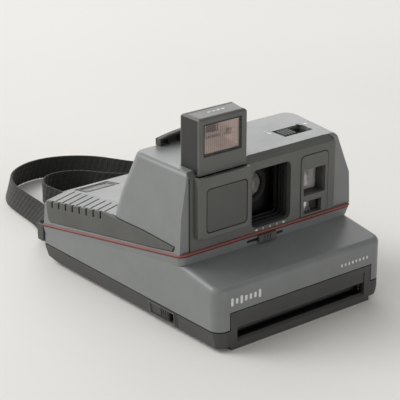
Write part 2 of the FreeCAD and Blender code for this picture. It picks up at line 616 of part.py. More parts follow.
def optics():
    """Lens tunnel, lenses, shutter, viewfinder, mirror and light box."""
    tunnel = box("tunnel_outer", ("window_left - 1.4", "window_right + 1.4"), (31, 42.4),
                 ("window_low - 1.4", "window_high + 1.4"))
    bore = box("tunnel_bore", ("window_left", "window_right"), (20, 50), ("window_low", "window_high"))
    node("lens_tunnel", cut("tunnel", tunnel, [bore]))
    plate = box("mount_plate", ("window_left - 1.4", "window_right + 1.4"), (47.2, 49.2),
                ("window_low - 1.4", "window_high + 1.4"))
    rings = [rod(f"mount_ring_{index}", "y", f"lens_r + {grow}", front, 48, ("lens_x", "lens_z"))
             for index, (grow, front) in enumerate(((5.2, 46.2), (3.4, 45.3), (1.8, 44.4)))]
    solid = fuse("mount_solid", [plate] + rings)
    hole = rod("mount_hole", "y", "lens_r + fit", 40, 52, ("lens_x", "lens_z"))
    node("lens_mount", cut("mount", solid, [hole]))
    centre = (cell("lens_x"), cell("lens_z"))
    radius = cell("lens_r")

    def lens(name, front, edge, bulge, size):
        disc = Part.makeCylinder(size, edge + bulge, at(centre[0], front, centre[1]), Vector(0, 1, 0))
        ball = (size * size + bulge * bulge) / (2 * bulge)
        sphere = Part.makeSphere(ball, at(centre[0], front + ball, centre[1]))
        node(name, feature(name + "_glass", disc.common(sphere)))
    lens("front_lens", 44.9, 2.6, 1.5, radius)
    lens("rear_lens", 54, 2, 1, 5.6)
    tube = rod("barrel_outer", "y", "lens_r + 1.6", 49.2, 60, ("lens_x", "lens_z"))
    inner = rod("barrel_inner", "y", 5.7, 45, 62, ("lens_x", "lens_z"))
    node("lens_barrel", cut("barrel", tube, [inner]))
    case = box("shutter_outer", (-21, 23), (60, 66), (52, 82))
    room = box("shutter_room", (-20, 22), (61, 65), (53, 81))
    sight = rod("shutter_sight", "y", 5, 50, 70, ("lens_x", "lens_z"))
    node("shutter_case", cut("shutter", case, [room, sight]))
    for side, low, high, front in (("left", -10.8, 3.2, 61.6), ("right", -0.8, 13.2, 63.2)):
        node(f"shutter_blade_{side}", box(f"blade_{side}", (low, high), (front, front + 0.6), (58, 74)))
    lower = prism("light_lower", "x", [(66.6, 25.7), (66.6, 50), (87, 49.4), (147, 39.2), (147, 25.7)],
                  -42, 42)
    upper = prism("light_upper", "x", [(66.6, 46), (66.6, 79), (71, 79), (79, 58), (85.5, 46)], -22, 22)
    shell = fuse("light_outer", [lower, upper])
    low_room = prism("light_low_room", "x", [(68, 24), (68, 48.5), (86.5, 47.8), (145.6, 37.8),
                                             (145.6, 24)], -40.6, 40.6)
    high_room = prism("light_high_room", "x", [(68, 40), (68, 77.6), (70, 77.6), (77.6, 57.6),
                                               (83.5, 40)], -20.6, 20.6)
    sight = rod("light_sight", "y", 6, 60, 69, ("lens_x", "lens_z"))
    node("light_box", cut("light", shell, [low_room, high_room, sight]))
    pane = [(90, 45.2), (90, 46.7), (144.6, 37.4), (144.6, 35.9)]
    node("mirror", prism("mirror_plate", "x", pane, -39, 39))
    outer = box("finder_outer", ("finder_left - 1", "finder_right + 1"), (30.7, 78.4),
                ("finder_low - 1", "finder_high + 1"))
    room = box("finder_room", ("finder_left", "finder_right"), (20, 80), ("finder_low", "finder_high"))
    node("finder_tunnel", cut("finder", outer, [room]))
    node("finder_window", box("finder_glass", ("finder_left + 0.1", "finder_right - 0.1"), (35.2, 36.6),
                              ("finder_low + 0.1", "finder_high - 0.1")))
    node("eyepiece", box("eye_glass", ("finder_left + 0.1", "finder_right - 0.1"), (76.4, 78),
                         ("finder_low + 0.1", "finder_high - 0.1")))
    node("cell_window", box("cell_glass", ("cell_left + 0.1", "cell_right - 0.1"), (31.4, 32.6),
                            ("cell_low - 0.4", "cell_high + 0.6")))
    node("light_cell", box("cell_body", (29, 36), (33.4, 37.4), (49, 55)))
    node("rear_hood", rear_hood())


def rear_hood():
    """Arched hood on the back edge of the tower's top, hollow and ribbed towards the front."""
    middle, arch = -11.8, 150
    block = box("hood_block", (-39.9, 16.3), (71.2, 75.4), ("tower_top", 100))
    crown = rod("hood_crown", "y", arch, 70, 77, (middle, f"tower_top + 6.7 - {arch}"))
    hood = rounded("hood_soft", common("hood_arch", block, crown), 0.9,
                   lambda edge: edge.CenterOfMass.z > cell("tower_top") + 4.1 and not runs_along(edge, "x"))
    room = box("hood_room", (-38.7, 15.1), (70, 74.2), ("tower_top - 1", 99))
    ceiling = rod("hood_ceiling", "y", arch - 1.3, 69, 75, (middle, f"tower_top + 6.7 - {arch}"))
    ribs = [box(f"hood_rib_{index}", (x, x + 0.8), (71.9, 74.8), ("tower_top", 93.4))
            for index, x in enumerate(range(-34, 14, 8))]
    hollow = cut("hood_cut", hood, [common("hood_hollow", room, ceiling)])
    return fuse("hood", [hollow] + ribs)


# ---------------------------------------------------------------- controls

def controls():
    """Flash release on top, exposure slider at the front and the film door latch."""
    tray = box("track_outer", ("track_left + 0.05", "track_right - 0.05"),
               ("track_front + 0.05", "track_back - 0.05"), (84.6, 88.6))
    room = box("track_room", ("track_left + 0.9", "track_right - 0.9"),
               ("track_front + 0.9", "track_back - 0.9"), (86, 95))
    node("release_track", cut("track", tray, [room]))
    slide = box("release_plate", ("track_left + 1.2", "track_left + 11.4"),
                ("track_front + 1.2", "track_back - 1.2"), (86.2, 88.2))
    ribs = []
    for index in range(4):
        start = 2 + 2.2 * index
        across = (f"track_left + {start:.1f}", f"track_left + {start + 1:.1f}")
        along = ("track_front + 1.6", "track_back - 1.6")
        ribs.append(box(f"release_rib_{index}", across, along, (88, 90.2)))
    node("flash_release", fuse("release", [slide] + ribs))
    knob = box("knob_plate", (-8.6, 3.8), (25.9, 27.2), (40.9, 44.9))
    knob = rounded("knob_soft", knob, 0.5, lambda edge: depth_of(edge) < 25.95)
    ribs = [box(f"knob_rib_{index}", (low, low + 1.1), (25.3, 26), (41.3, 44.5))
            for index, low in enumerate((-4.8, -2.95, -1.1))]
    stem = box("knob_stem", (-6, 1.2), (27, 32.6), (41.9, 43.3))
    keeper = box("knob_keeper", (-8, 3.2), (32.2, 33.4), (40.6, 44.6))
    node("exposure_slider", fuse("knob", [knob, stem, keeper] + ribs))
    # The latch follows the side of the tray, and slides towards the film door in its pocket.
    plate = prism("latch_plate", "y", [(-58.6, 9.8), (-57.8, 4.1), (-56, 4.1), (-56.8, 9.8)], 41.2, 56.8)
    ribs = [prism(f"latch_rib_{index}", "y", [(-59.2, 9.3), (-58.4, 4.6), (-57.6, 4.6), (-58.4, 9.3)],
                  41.8 + 1.9 * index, 42.7 + 1.9 * index) for index in range(4)]
    node("door_latch", fuse("latch", [plate] + ribs))


# ---------------------------------------------------------------- film door and drive

def film_door():
    """Front door with the picture exit, hinged low at its back, carrying the rollers."""
    across = prism("door_section", "y", BASE_SECTION, 0, "door_deep")
    plan = box("door_plan", ("-half_wide", "half_wide"), (0, "door_deep + 4"), (-2, 40))
    plan = rounded("door_plan_soft", plan, 6.5, lambda edge: runs_along(edge, "z") and depth_of(edge) < 1)
    base = common("door_base", across, plan)
    face = box("door_face", ("-door_half", "door_half"), (0, 22), ("seam - 1", "door_top"))
    solid = fuse("door_solid", [base, face])
    room = box("door_room", ("1.6 - door_half", "door_half - 1.6"), ("door_wall", 40), (1.7, 40))
    sides = [prism("door_pocket_left", "y", [("-door_half", 40), ("wall - half_wide", 40),
                                             ("wall + 1 - half_wide", 4.2), ("-door_half", 4.2)], 8, 40),
             prism("door_pocket_right", "y", [("door_half", 4.8), ("half_wide - 7", 4.8),
                                              ("half_wide - wall", 10.6), ("half_wide - wall", 40),
                                              ("door_half", 40)], 8, 40)]
    slot = box("door_slot", ("-exit_half", "exit_half"), (-1, 5), ("exit_low", "exit_high"))
    lip = prism("door_lip", "x", [(-1, 3.2), (0, 3.6), (0.9, 4.5), ("door_wall + 0.2", "exit_low"),
                                  ("door_wall + 0.2", 8), (-1, 8)], "-exit_half", "exit_half")
    panel = box("door_panel", ("-exit_half", "exit_half"), (-1, 0.45), ("exit_high - 1", 17.9))
    relief = box("door_relief", ("-door_half - 0.1", "door_half + 0.1"), (31.6, 40), (-1, 4.4))
    base = cut("door_cut", solid, [room, slot, lip, panel, relief] + sides)
    knuckles = [rod(f"door_knuckle_{side}", "x", "knuckle_r", low, high, ("hinge_depth", "hinge_height"))
                for side, low, high in (("left", -40, -20), ("right", 20, 40))]
    webs = [box(f"door_web_{side}", (low, high), (30, "hinge_depth"), (0.3, 1.7))
            for side, low, high in (("left", -40, -20), ("right", 20, 40))]
    joined = fuse("door_joined", [base] + knuckles + webs)
    bore = rod("door_bore", "x", "pin_r + fit", -50, 50, ("hinge_depth", "hinge_height"))
    node("film_door", cut("door", joined, [bore]))
    node("hinge_pin", rod("pin", "x", "pin_r", -48.8, 48.8, ("hinge_depth", "hinge_height")))


def rollers():
    """Spreader rollers with their gears, and the steel frame that carries them."""
    plates = [box(f"carrier_{side}", (low, high), (5, 15), (1.9, 18.9))
              for side, low, high in (("left", -45.6, -44.6), ("right", 44.6, 45.6))]
    bridge = box("carrier_bridge", (-45.6, 45.6), (5, 15), (17.9, 18.9))
    frame = fuse("carrier_solid", plates + [bridge])
    holes = [rod(f"carrier_hole_{place}", "x", "axle_r + fit", -50, 50, ("roller_depth", f"roller_{place}"))
             for place in ("low", "high")]
    node("roller_frame", cut("carrier", frame, holes))
    for place, label in (("low", "lower"), ("high", "upper")):
        where = ("roller_depth", f"roller_{place}")
        drum = rod(f"{label}_drum", "x", "roller_r", "-roller_half", "roller_half", where)
        axle = rod(f"{label}_axle", "x", "axle_r", -46.6, 48.2, where)
        node(f"{label}_roller", fuse(f"{label}_roller_solid", [drum, axle]))


def drive():
    """Motor, pinion and drive gear in the front box, in mesh with the upper roller's gear."""
    depth, low, high = cell("roller_depth"), cell("roller_low"), cell("roller_high")
    small, teeth = cell("small_gear"), int(cell("small_teeth"))
    large, large_teeth = cell("large_gear"), int(cell("large_teeth"))
    bore = cell("axle_r") + 0.02
    lower_first = 90.0
    upper_first = meshing_tooth(90.0, lower_first, teeth, small, teeth, small)
    node("lower_roller_gear", feature("gear_low", gear(teeth, small, lower_first, (depth, low), bore)))
    node("upper_roller_gear", feature("gear_high", gear(teeth, small, upper_first, (depth, high), bore)))
    # The door swings about its hinge, so the drive gear stands where that swing parts the
    # teeth squarely: along the path that the upper roller takes as the door opens.
    arm = (depth - cell("hinge_depth"), high - cell("hinge_height"))
    line = math.degrees(math.atan2(-arm[0], arm[1]))
    reach = small + large
    drive_centre = (depth + reach * math.cos(math.radians(line)),
                    high + reach * math.sin(math.radians(line)))
    drive_first = meshing_tooth(line, upper_first, teeth, small, large_teeth, large)
    node("drive_gear", feature("gear_drive", gear(large_teeth, large, drive_first, drive_centre, 1.2)))
    pinion_centre = (drive_centre[0] + reach, drive_centre[1])
    pinion_first = meshing_tooth(0.0, drive_first, large_teeth, large, teeth, small)
    node("motor_pinion", feature("gear_motor", gear(teeth, small, pinion_first, pinion_centre, bore)))
    shaft = rod("motor_shaft", "x", "axle_r", 40, "gear_right", pinion_centre)
    can = rod("motor_can", "x", 5.6, 18, 42, pinion_centre)
    node("drive_motor", can)
    node("motor_shaft", cut("motor_shaft_free", shaft, [box("motor_clear", (30, 42), (0, 60), (0, 60))]))
    post = rod("drive_post", "x", 1.15, 43, 48.6, drive_centre)
    plate = box("drive_plate", (43, 44.2), (12, 32), (19.4, 33))
    opening = rod("drive_plate_hole", "x", 1.6, 40, 50, pinion_centre)
    node("gear_plate", cut("gear_plate_solid", fuse("gear_plate_blank", [plate, post]), [opening]))
    print("drive gear at", [round(value, 3) for value in drive_centre],
          "motor at", [round(value, 3) for value in pinion_centre])


def film_chamber():
    """Frame over the film pack, battery contacts, pick arm and the electronics."""
    roof = box("frame_roof", (-54, 54), (38, 150.5), (23.5, 25.6))
    window = box("frame_window", (-39.5, 39.5), (66, 145), (20, 30))
    rails = [box(f"frame_rail_{side}", (low, high), (38, 147), (4.8, 23.5))
             for side, low, high in (("left", -52.4, -51), ("right", 51, 52.4))]
    node("film_frame", cut("frame", fuse("frame_solid", [roof] + rails), [window]))
    contacts = [box(f"contact_{index}", (x, x + 5), (120, 136), (2.3, 3.1))
                for index, x in enumerate((-24, 19))]
    node("battery_contacts", fuse("contacts", contacts))
    arm = box("pick_bar", (-50.6, -49.4), (118, 146), (16, 20))
    hook = box("pick_hook", (-50.6, -47), (143, 146), (12, 20))
    node("film_pick", fuse("pick", [arm, hook]))
    node("circuit_board", box("board", (46, 47.6), (36, 68), (49, 80)))
    node("flash_capacitor", rod("capacitor", "x", 6, -52, -23, (53, 74)))
    screws = []
    for index, (x, depth) in enumerate(((-47, 45), (47, 45), (-47, 148), (47, 148))):
        screws.append(rod(f"screw_shank_{index}", "z", 1.3, 25.7, 29, (x, depth)))
        screws.append(rod(f"screw_head_{index}", "z", 2.5, 29, 30.4, (x, depth)))
    node("frame_screws", fuse("screws", screws))


# ---------------------------------------------------------------- strap

def strap_lugs():
    """Moulded loops at both rear corners, each with a bar for the strap."""
    loops = []
    for side, low, high, shift in (("left", -60, -50, 2), ("right", 50, 60, -2)):
        block = box(f"lug_{side}_block", (low, high), ("length", "length + 6"), (12.4, 22.6))
        hole = box(f"lug_{side}_hole", (low + shift, high + shift), ("length + 0.8", "length + 4"), (0, 40))
        loops.append(cut(f"lug_{side}", block, [hole]))
    node("strap_lugs", fuse("lug_pair", loops))


STRAP_ROUTE = [
    (-53, 165.6, 12), (-46, 177, 9), (-36, 190, 7.4), (-30, 207, 7.4), (-28.6, 228, 7.4),
    (-26, 249, 7.4), (-14, 268, 7.4), (8, 277, 7.4), (29, 272, 7.4), (46, 258, 7.4),
    (56, 239, 7.4), (67, 221, 7.4), (85, 208, 7.4), (101, 191, 7.4), (92, 171, 7.4),
    (70, 170, 7.4), (60, 189, 7.4), (52, 209, 7.4), (35, 223, 7.4), (24, 242, 7.4),
    (4, 249, 7.4), (-10, 237, 7.4), (-8, 216, 7.4), (-4, 196, 7.4), (11, 183, 7.4),
    (32, 180, 8), (47, 176, 9.5), (54, 165.6, 12),
]


def strap_path(points):
    """Straight runs joined by tangent arcs, each as large as its two runs allow."""
    edges, radii = [], []
    start = points[0]
    for before, corner, after in zip(points, points[1:], points[2:]):
        into, out = corner - before, after - corner
        turn = into.getAngle(out)
        trim = 0.45 * min(into.Length, out.Length)
        radii.append(trim / math.tan(turn / 2))
        into.normalize()
        out.normalize()
        first, last = corner - into * trim, corner + out * trim
        inward = (out - into).normalize()
        centre = corner + inward * (radii[-1] / math.cos(turn / 2))
        middle = centre - inward * radii[-1]
        edges.append(Part.LineSegment(start, first).toShape())
        edges.append(Part.Arc(first, middle, last).toShape())
        start = last
    edges.append(Part.LineSegment(start, points[-1]).toShape())
    return Part.Wire(edges), radii


def strap():
    """Webbing strap, laid loosely behind the body from one lug to the other."""
    points = [at(*point) for point in STRAP_ROUTE]
    path, radii = strap_path(points)
    thick, wide = cell("strap_thick"), cell("strap_wide")
    way = (points[1] - points[0]).normalize()
    side = way.cross(Vector(0, 0, 1)).normalize() * (thick / 2)
    up = Vector(0, 0, wide / 2)
    corners = [points[0] + side + up, points[0] - side + up, points[0] - side - up, points[0] + side - up]
    sweep = Part.BRepOffsetAPI.MakePipeShell(path)
    sweep.setBiNormalMode(Vector(0, 0, 1))
    sweep.add(Part.makePolygon(corners + corners[:1]))
    sweep.build()
    sweep.makeSolid()
    band = sweep.shape()
    node("strap", feature("strap_band", band))
    print("strap length", round(path.Length, 1), "least radius", round(min(radii), 1),
          "radii", [round(radius) for radius in radii])
    print("strap volume over section times length", round(band.Volume / (thick * wide * path.Length), 4))


# ---------------------------------------------------------------- build, check, write

bottom_shell()
lower_shell()
red_trim()
upper_cover()
deck_panel()
side_grips()
front_bezel()
finder_panel()
shutter_block()
shutter_button()
flash_head()
lens_cover()
optics()
controls()
film_door()
rollers()
drive()
film_chamber()
strap_lugs()
strap()
doc.recompute()

for item in doc.Objects:
    if "Invalid" in item.State or "Error" in item.State:
        raise SystemExit(f"{item.Label} did not build: {item.State}")
os.makedirs("parts", exist_ok=True)
for name, item in PARTS.items():
    shape = item.Shape
    if shape.isNull() or not shape.isValid() or not shape.Solids:
        raise SystemExit(f"{name} is not a valid solid")
    shape.exportStep(f"parts/{name}.step")
print(len(PARTS), "sub-parts written")
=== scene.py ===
import bmesh
import bpy
import json
import math
from mathutils import Matrix, Vector


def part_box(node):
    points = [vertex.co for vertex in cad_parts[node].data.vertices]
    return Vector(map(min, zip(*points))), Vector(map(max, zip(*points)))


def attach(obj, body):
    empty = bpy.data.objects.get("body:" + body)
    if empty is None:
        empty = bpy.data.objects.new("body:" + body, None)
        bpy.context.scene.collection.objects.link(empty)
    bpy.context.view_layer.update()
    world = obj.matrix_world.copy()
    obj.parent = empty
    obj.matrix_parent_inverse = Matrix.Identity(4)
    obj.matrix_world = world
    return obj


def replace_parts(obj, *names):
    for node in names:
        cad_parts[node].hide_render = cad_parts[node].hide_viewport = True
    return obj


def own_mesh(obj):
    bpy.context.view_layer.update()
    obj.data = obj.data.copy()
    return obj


# An instant camera with its flash drawn up and its strap lying behind it.
# Metres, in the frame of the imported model: +X to the right seen from the front,
# +Y from the front to the back, +Z up. Pieces find their places from the CAD nodes.

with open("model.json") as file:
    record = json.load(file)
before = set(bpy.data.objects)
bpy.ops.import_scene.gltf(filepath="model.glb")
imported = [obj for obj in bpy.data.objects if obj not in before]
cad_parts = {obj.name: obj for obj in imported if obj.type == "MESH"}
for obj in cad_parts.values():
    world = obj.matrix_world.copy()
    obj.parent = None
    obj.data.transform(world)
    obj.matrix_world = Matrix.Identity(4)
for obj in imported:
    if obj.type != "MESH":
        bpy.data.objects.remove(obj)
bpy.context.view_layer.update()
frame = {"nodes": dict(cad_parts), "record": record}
MM = 0.001


# ---------------------------------------------------------------- camera

def look_from(eye, aim, lens):
    """The scene's camera, at the photograph's viewing angle."""
    data = bpy.data.cameras.new("camera")
    data.sensor_width = 36
    data.lens = lens
    data.clip_start = 0.05
    data.clip_end = 20
    camera = bpy.data.objects.new("camera", data)
    camera.location = eye
    camera.rotation_euler = (Vector(aim) - Vector(eye)).to_track_quat("-Z", "Y").to_euler()
    bpy.context.scene.collection.objects.link(camera)
    bpy.context.scene.camera = camera


look_from(eye=(-0.5165, -0.6313, 0.3626), aim=(-0.01045, -0.00484, 0.05153), lens=140.4)


# ---------------------------------------------------------------- material helpers

def nodes_of(name):
    """A new material, its node tree and its Principled shader."""
    material = bpy.data.materials.new(name)
    material.use_nodes = True
    tree = material.node_tree
    return material, tree, tree.nodes["Principled BSDF"]


def place_of(tree, stretch=(1, 1, 1)):
    """The object's own coordinates, stretched."""
    place = tree.nodes.new("ShaderNodeTexCoord")
    mapping = tree.nodes.new("ShaderNodeMapping")
    mapping.inputs["Scale"].default_value = stretch
    tree.links.new(place.outputs["Object"], mapping.inputs["Vector"])
    return mapping.outputs["Vector"]


def noise_of(tree, scale, detail, roughness=0.5, stretch=(1, 1, 1)):
    """Noise in the object's own coordinates. scale is in cells per metre."""
    texture = tree.nodes.new("ShaderNodeTexNoise")
    texture.inputs["Scale"].default_value = scale
    texture.inputs["Detail"].default_value = detail
    texture.inputs["Roughness"].default_value = roughness
    tree.links.new(place_of(tree, stretch), texture.inputs["Vector"])
    return texture.outputs["Fac"]


def wave_of(tree, scale, direction, warp=0.0):
    """Parallel bands, 2 pi / (20 scale) metres apart."""
    texture = tree.nodes.new("ShaderNodeTexWave")
    texture.bands_direction = direction
    texture.inputs["Scale"].default_value = scale
    texture.inputs["Distortion"].default_value = warp
    tree.links.new(place_of(tree), texture.inputs["Vector"])
    return texture.outputs["Fac"]


def ramp_of(tree, factor, low, high, start=0.3, end=0.7):
    """Colours from low to high as factor goes from start to end."""
    ramp = tree.nodes.new("ShaderNodeValToRGB")
    ramp.color_ramp.elements[0].position = start
    ramp.color_ramp.elements[1].position = end
    ramp.color_ramp.elements[0].color = (*low, 1)
    ramp.color_ramp.elements[1].color = (*high, 1)
    tree.links.new(factor, ramp.inputs["Fac"])
    return ramp.outputs["Color"]


def spread_of(tree, factor, low, high, start=0.25, end=0.75):
    """A number from low to high as factor goes from start to end."""
    spread = tree.nodes.new("ShaderNodeMapRange")
    spread.inputs["From Min"].default_value = start
    spread.inputs["From Max"].default_value = end
    spread.inputs["To Min"].default_value = low
    spread.inputs["To Max"].default_value = high
    tree.links.new(factor, spread.inputs["Value"])
    return spread.outputs["Result"]


def mixed(tree, factor, first, second):
    """first where factor is 0 and second where it is 1. second is a colour or a socket."""
    mix = tree.nodes.new("ShaderNodeMix")
    mix.data_type = "RGBA"
    tree.links.new(factor, mix.inputs["Factor"])
    tree.links.new(first, mix.inputs["A"])
    if isinstance(second, tuple):
        mix.inputs["B"].default_value = (*second, 1)
    else:
        tree.links.new(second, mix.inputs["B"])
    return mix.outputs["Result"]


def bump_of(tree, height, distance, strength):
    """A bump normal from a height field."""
    bump = tree.nodes.new("ShaderNodeBump")
    bump.inputs["Distance"].default_value = distance
    bump.inputs["Strength"].default_value = strength
    tree.links.new(height, bump.inputs["Height"])
    return bump.outputs["Normal"]


def edge_of(tree, radius):
    """0.7 on an edge, 0 away from it."""
    bevel = tree.nodes.new("ShaderNodeBevel")
    bevel.samples = 4
    bevel.inputs["Radius"].default_value = radius
    here = tree.nodes.new("ShaderNodeNewGeometry")
    dot = tree.nodes.new("ShaderNodeVectorMath")
    dot.operation = "DOT_PRODUCT"
    tree.links.new(bevel.outputs["Normal"], dot.inputs[0])
    tree.links.new(here.outputs["Normal"], dot.inputs[1])
    return spread_of(tree, dot.outputs["Value"], 0.7, 0.0, 0.9, 1.0)


def grey(level, tint=(1, 1, 1)):
    """A linear colour from a display grey of 0 to 255, tinted."""
    value = level / 255
    linear = value / 12.92 if value <= 0.04045 else ((value + 0.055) / 1.055) ** 2.4
    return tuple(linear * part for part in tint)


# ---------------------------------------------------------------- materials

def plastic(name, level, tint, rough, grain=3200, wear=12):
    """Moulded plastic: fine spark-eroded grain, faint mottling and paler worn edges."""
    material, tree, shader = nodes_of(name)
    mottle = noise_of(tree, 60, 4)
    body = ramp_of(tree, mottle, grey(level - 3, tint), grey(level + 3, tint))
    worn = mixed(tree, edge_of(tree, 0.0006), body, grey(level + wear, tint))
    dust = spread_of(tree, noise_of(tree, 14000, 1, 0.6), 0.0, 0.35, 0.66, 0.78)
    speck = mixed(tree, dust, worn, grey(level + 40, tint))
    tree.links.new(speck, shader.inputs["Base Color"])
    rubbed = noise_of(tree, 35, 5, 0.65)
    tree.links.new(spread_of(tree, rubbed, rough - 0.07, rough + 0.07), shader.inputs["Roughness"])
    fine = noise_of(tree, grain, 2)
    tree.links.new(bump_of(tree, fine, 0.00003, 0.5), shader.inputs["Normal"])
    return material


def two_tone_painted_shade(name, upper, lower, along, border, rough):
    """Lacquered strip in two tones: upper beyond the plane where the place along a vector is border, and the
    darker lower tone below it, which is painted shade along the strip's underside.
    """
    material, tree, shader = nodes_of(name)
    reach = tree.nodes.new("ShaderNodeVectorMath")
    reach.operation = "DOT_PRODUCT"
    reach.inputs[1].default_value = along
    tree.links.new(place_of(tree), reach.inputs[0])
    # Below the border the strip takes the darker lower tone, painted shade along its underside.
    height = spread_of(tree, reach.outputs["Value"], 0, 1, border - 0.00015, border + 0.00015)
    mottle = noise_of(tree, 90, 4)
    low = ramp_of(tree, mottle, tuple(part * 0.85 for part in lower), lower)
    high = ramp_of(tree, mottle, tuple(part * 0.9 for part in upper), upper)
    tree.links.new(mixed(tree, height, low, high), shader.inputs["Base Color"])
    uneven = noise_of(tree, 35, 5)
    tree.links.new(spread_of(tree, uneven, rough - 0.06, rough + 0.08), shader.inputs["Roughness"])
    tree.links.new(bump_of(tree, noise_of(tree, 3000, 2), 0.00002, 0.5), shader.inputs["Normal"])
    return material


def soft_touch(name, level, tint):
    """Rubbery coating on the grips: a pebbled grain over a slow shade, matt, with rubbed patches."""
    material, tree, shader = nodes_of(name)
    cells = tree.nodes.new("ShaderNodeTexVoronoi")
    cells.inputs["Scale"].default_value = 1500
    tree.links.new(place_of(tree), cells.inputs["Vector"])
    pebble = cells.outputs["Distance"]
    shade = ramp_of(tree, noise_of(tree, 45, 4), grey(level - 4, tint), grey(level + 5, tint))
    pits = mixed(tree, spread_of(tree, pebble, 0.0, 0.5, 0.3, 0.8), shade, grey(level - 16, tint))
    tree.links.new(mixed(tree, edge_of(tree, 0.0005), pits, grey(level + 14, tint)),
                   shader.inputs["Base Color"])
    tree.links.new(spread_of(tree, noise_of(tree, 70, 4), 0.5, 0.68), shader.inputs["Roughness"])
    tree.links.new(bump_of(tree, pebble, 0.00005, 0.6), shader.inputs["Normal"])
    return material


def metal(name, colour, rough, brushed):
    """Bare metal with fine brushing along one way and dull patches."""
    material, tree, shader = nodes_of(name)
    shader.inputs["Metallic"].default_value = 1.0
    lines = noise_of(tree, 900, 4, 0.6, brushed)
    dull = tuple(part * 0.8 for part in colour)
    tree.links.new(ramp_of(tree, lines, dull, colour), shader.inputs["Base Color"])
    tree.links.new(spread_of(tree, lines, rough - 0.06, rough + 0.12), shader.inputs["Roughness"])
    tree.links.new(bump_of(tree, lines, 0.00002, 0.4), shader.inputs["Normal"])
    return material


def glass(name, colour, clear):
    """Clear glass or plastic with a coated glint and faint smears."""
    material, tree, shader = nodes_of(name)
    shader.inputs["Transmission Weight"].default_value = clear
    shader.inputs["IOR"].default_value = 1.5
    shader.inputs["Coat Weight"].default_value = 0.4
    shader.inputs["Coat Roughness"].default_value = 0.02
    cloud = noise_of(tree, 180, 4, 0.6)
    tree.links.new(ramp_of(tree, cloud, tuple(part * 0.9 for part in colour), colour),
                   shader.inputs["Base Color"])
    tree.links.new(spread_of(tree, cloud, 0.03, 0.08), shader.inputs["Roughness"])
    return material


def ribbed_pane(name):
    """Flash window: clear plastic, faintly pink, moulded in fine upright ribs."""
    material, tree, shader = nodes_of(name)
    shader.inputs["Transmission Weight"].default_value = 0.94
    shader.inputs["IOR"].default_value = 1.2
    ribs = wave_of(tree, 241, "X")
    tone = ramp_of(tree, ribs, (0.72, 0.60, 0.56), (1.0, 0.97, 0.95), 0.15, 0.6)
    tree.links.new(tone, shader.inputs["Base Color"])
    tree.links.new(spread_of(tree, noise_of(tree, 200, 3), 0.02, 0.06), shader.inputs["Roughness"])
    tree.links.new(bump_of(tree, ribs, 0.00010, 0.5), shader.inputs["Normal"])
    return material


def gilded(name, colour, rough):
    """Bright metallised plastic with slow ripples, as inside a flash reflector."""
    material, tree, shader = nodes_of(name)
    shader.inputs["Metallic"].default_value = 0.3
    ripple = noise_of(tree, 260, 3, 0.5)
    tree.links.new(ramp_of(tree, ripple, tuple(part * 0.86 for part in colour), colour),
                   shader.inputs["Base Color"])
    tree.links.new(spread_of(tree, ripple, rough, rough + 0.12), shader.inputs["Roughness"])
    tree.links.new(bump_of(tree, ripple, 0.0002, 0.3), shader.inputs["Normal"])
    return material


def lacquered(name, colour):
    """Circuit board: lacquer over a faint woven base with paler copper tracks beneath."""
    material, tree, shader = nodes_of(name)
    tracks = wave_of(tree, 22, "Z", 3.0)
    bright = tuple(min(1.0, part * 1.7) for part in colour)
    tree.links.new(ramp_of(tree, tracks, colour, bright, 0.62, 0.7), shader.inputs["Base Color"])
    tree.links.new(spread_of(tree, noise_of(tree, 300, 3), 0.25, 0.4), shader.inputs["Roughness"])
    tree.links.new(bump_of(tree, tracks, 0.00004, 0.5), shader.inputs["Normal"])
    return material


def print_ink(name, level):
    """Pad-printed ink, a little uneven."""
    material, tree, shader = nodes_of(name)
    uneven = noise_of(tree, 2600, 3, 0.6)
    tree.links.new(ramp_of(tree, uneven, grey(level - 26), grey(level)), shader.inputs["Base Color"])
    tree.links.new(spread_of(tree, uneven, 0.35, 0.55), shader.inputs["Roughness"])
    return material


def webbing(name):
    """Flat woven strap. Its UVs run along it and across it, in metres."""
    material, tree, shader = nodes_of(name)
    uv = tree.nodes.new("ShaderNodeUVMap")
    uv.uv_map = "weave"

    def bands(direction, scale, shift=0.0):
        texture = tree.nodes.new("ShaderNodeTexWave")
        texture.bands_direction = direction
        texture.inputs["Scale"].default_value = scale
        texture.inputs["Distortion"].default_value = 0.6
        texture.inputs["Detail"].default_value = 2.0
        texture.inputs["Phase Offset"].default_value = shift
        tree.links.new(uv.outputs["UV"], texture.inputs["Vector"])
        return texture.outputs["Fac"]

    across = bands("X", 210)
    along = bands("Y", 260)
    twill = bands("DIAGONAL", 150, 1.3)
    weave = tree.nodes.new("ShaderNodeMath")
    weave.operation = "MULTIPLY_ADD"
    tree.links.new(across, weave.inputs[0])
    tree.links.new(along, weave.inputs[1])
    tree.links.new(twill, weave.inputs[2])
    height = weave.outputs["Value"]
    thread = ramp_of(tree, height, grey(16, (1, 1.05, 0.85)), grey(40, (1, 1.03, 0.88)), 0.25, 1.3)
    faded = mixed(tree, spread_of(tree, noise_of(tree, 40, 4), 0.0, 0.45), thread, grey(48, (1.02, 1, 0.92)))
    tree.links.new(faded, shader.inputs["Base Color"])
    shader.inputs["Sheen Weight"].default_value = 0.25
    shader.inputs["Sheen Roughness"].default_value = 0.45
    tree.links.new(spread_of(tree, height, 0.75, 0.95), shader.inputs["Roughness"])
    tree.links.new(bump_of(tree, height, 0.00025, 0.8), shader.inputs["Normal"])
    return material


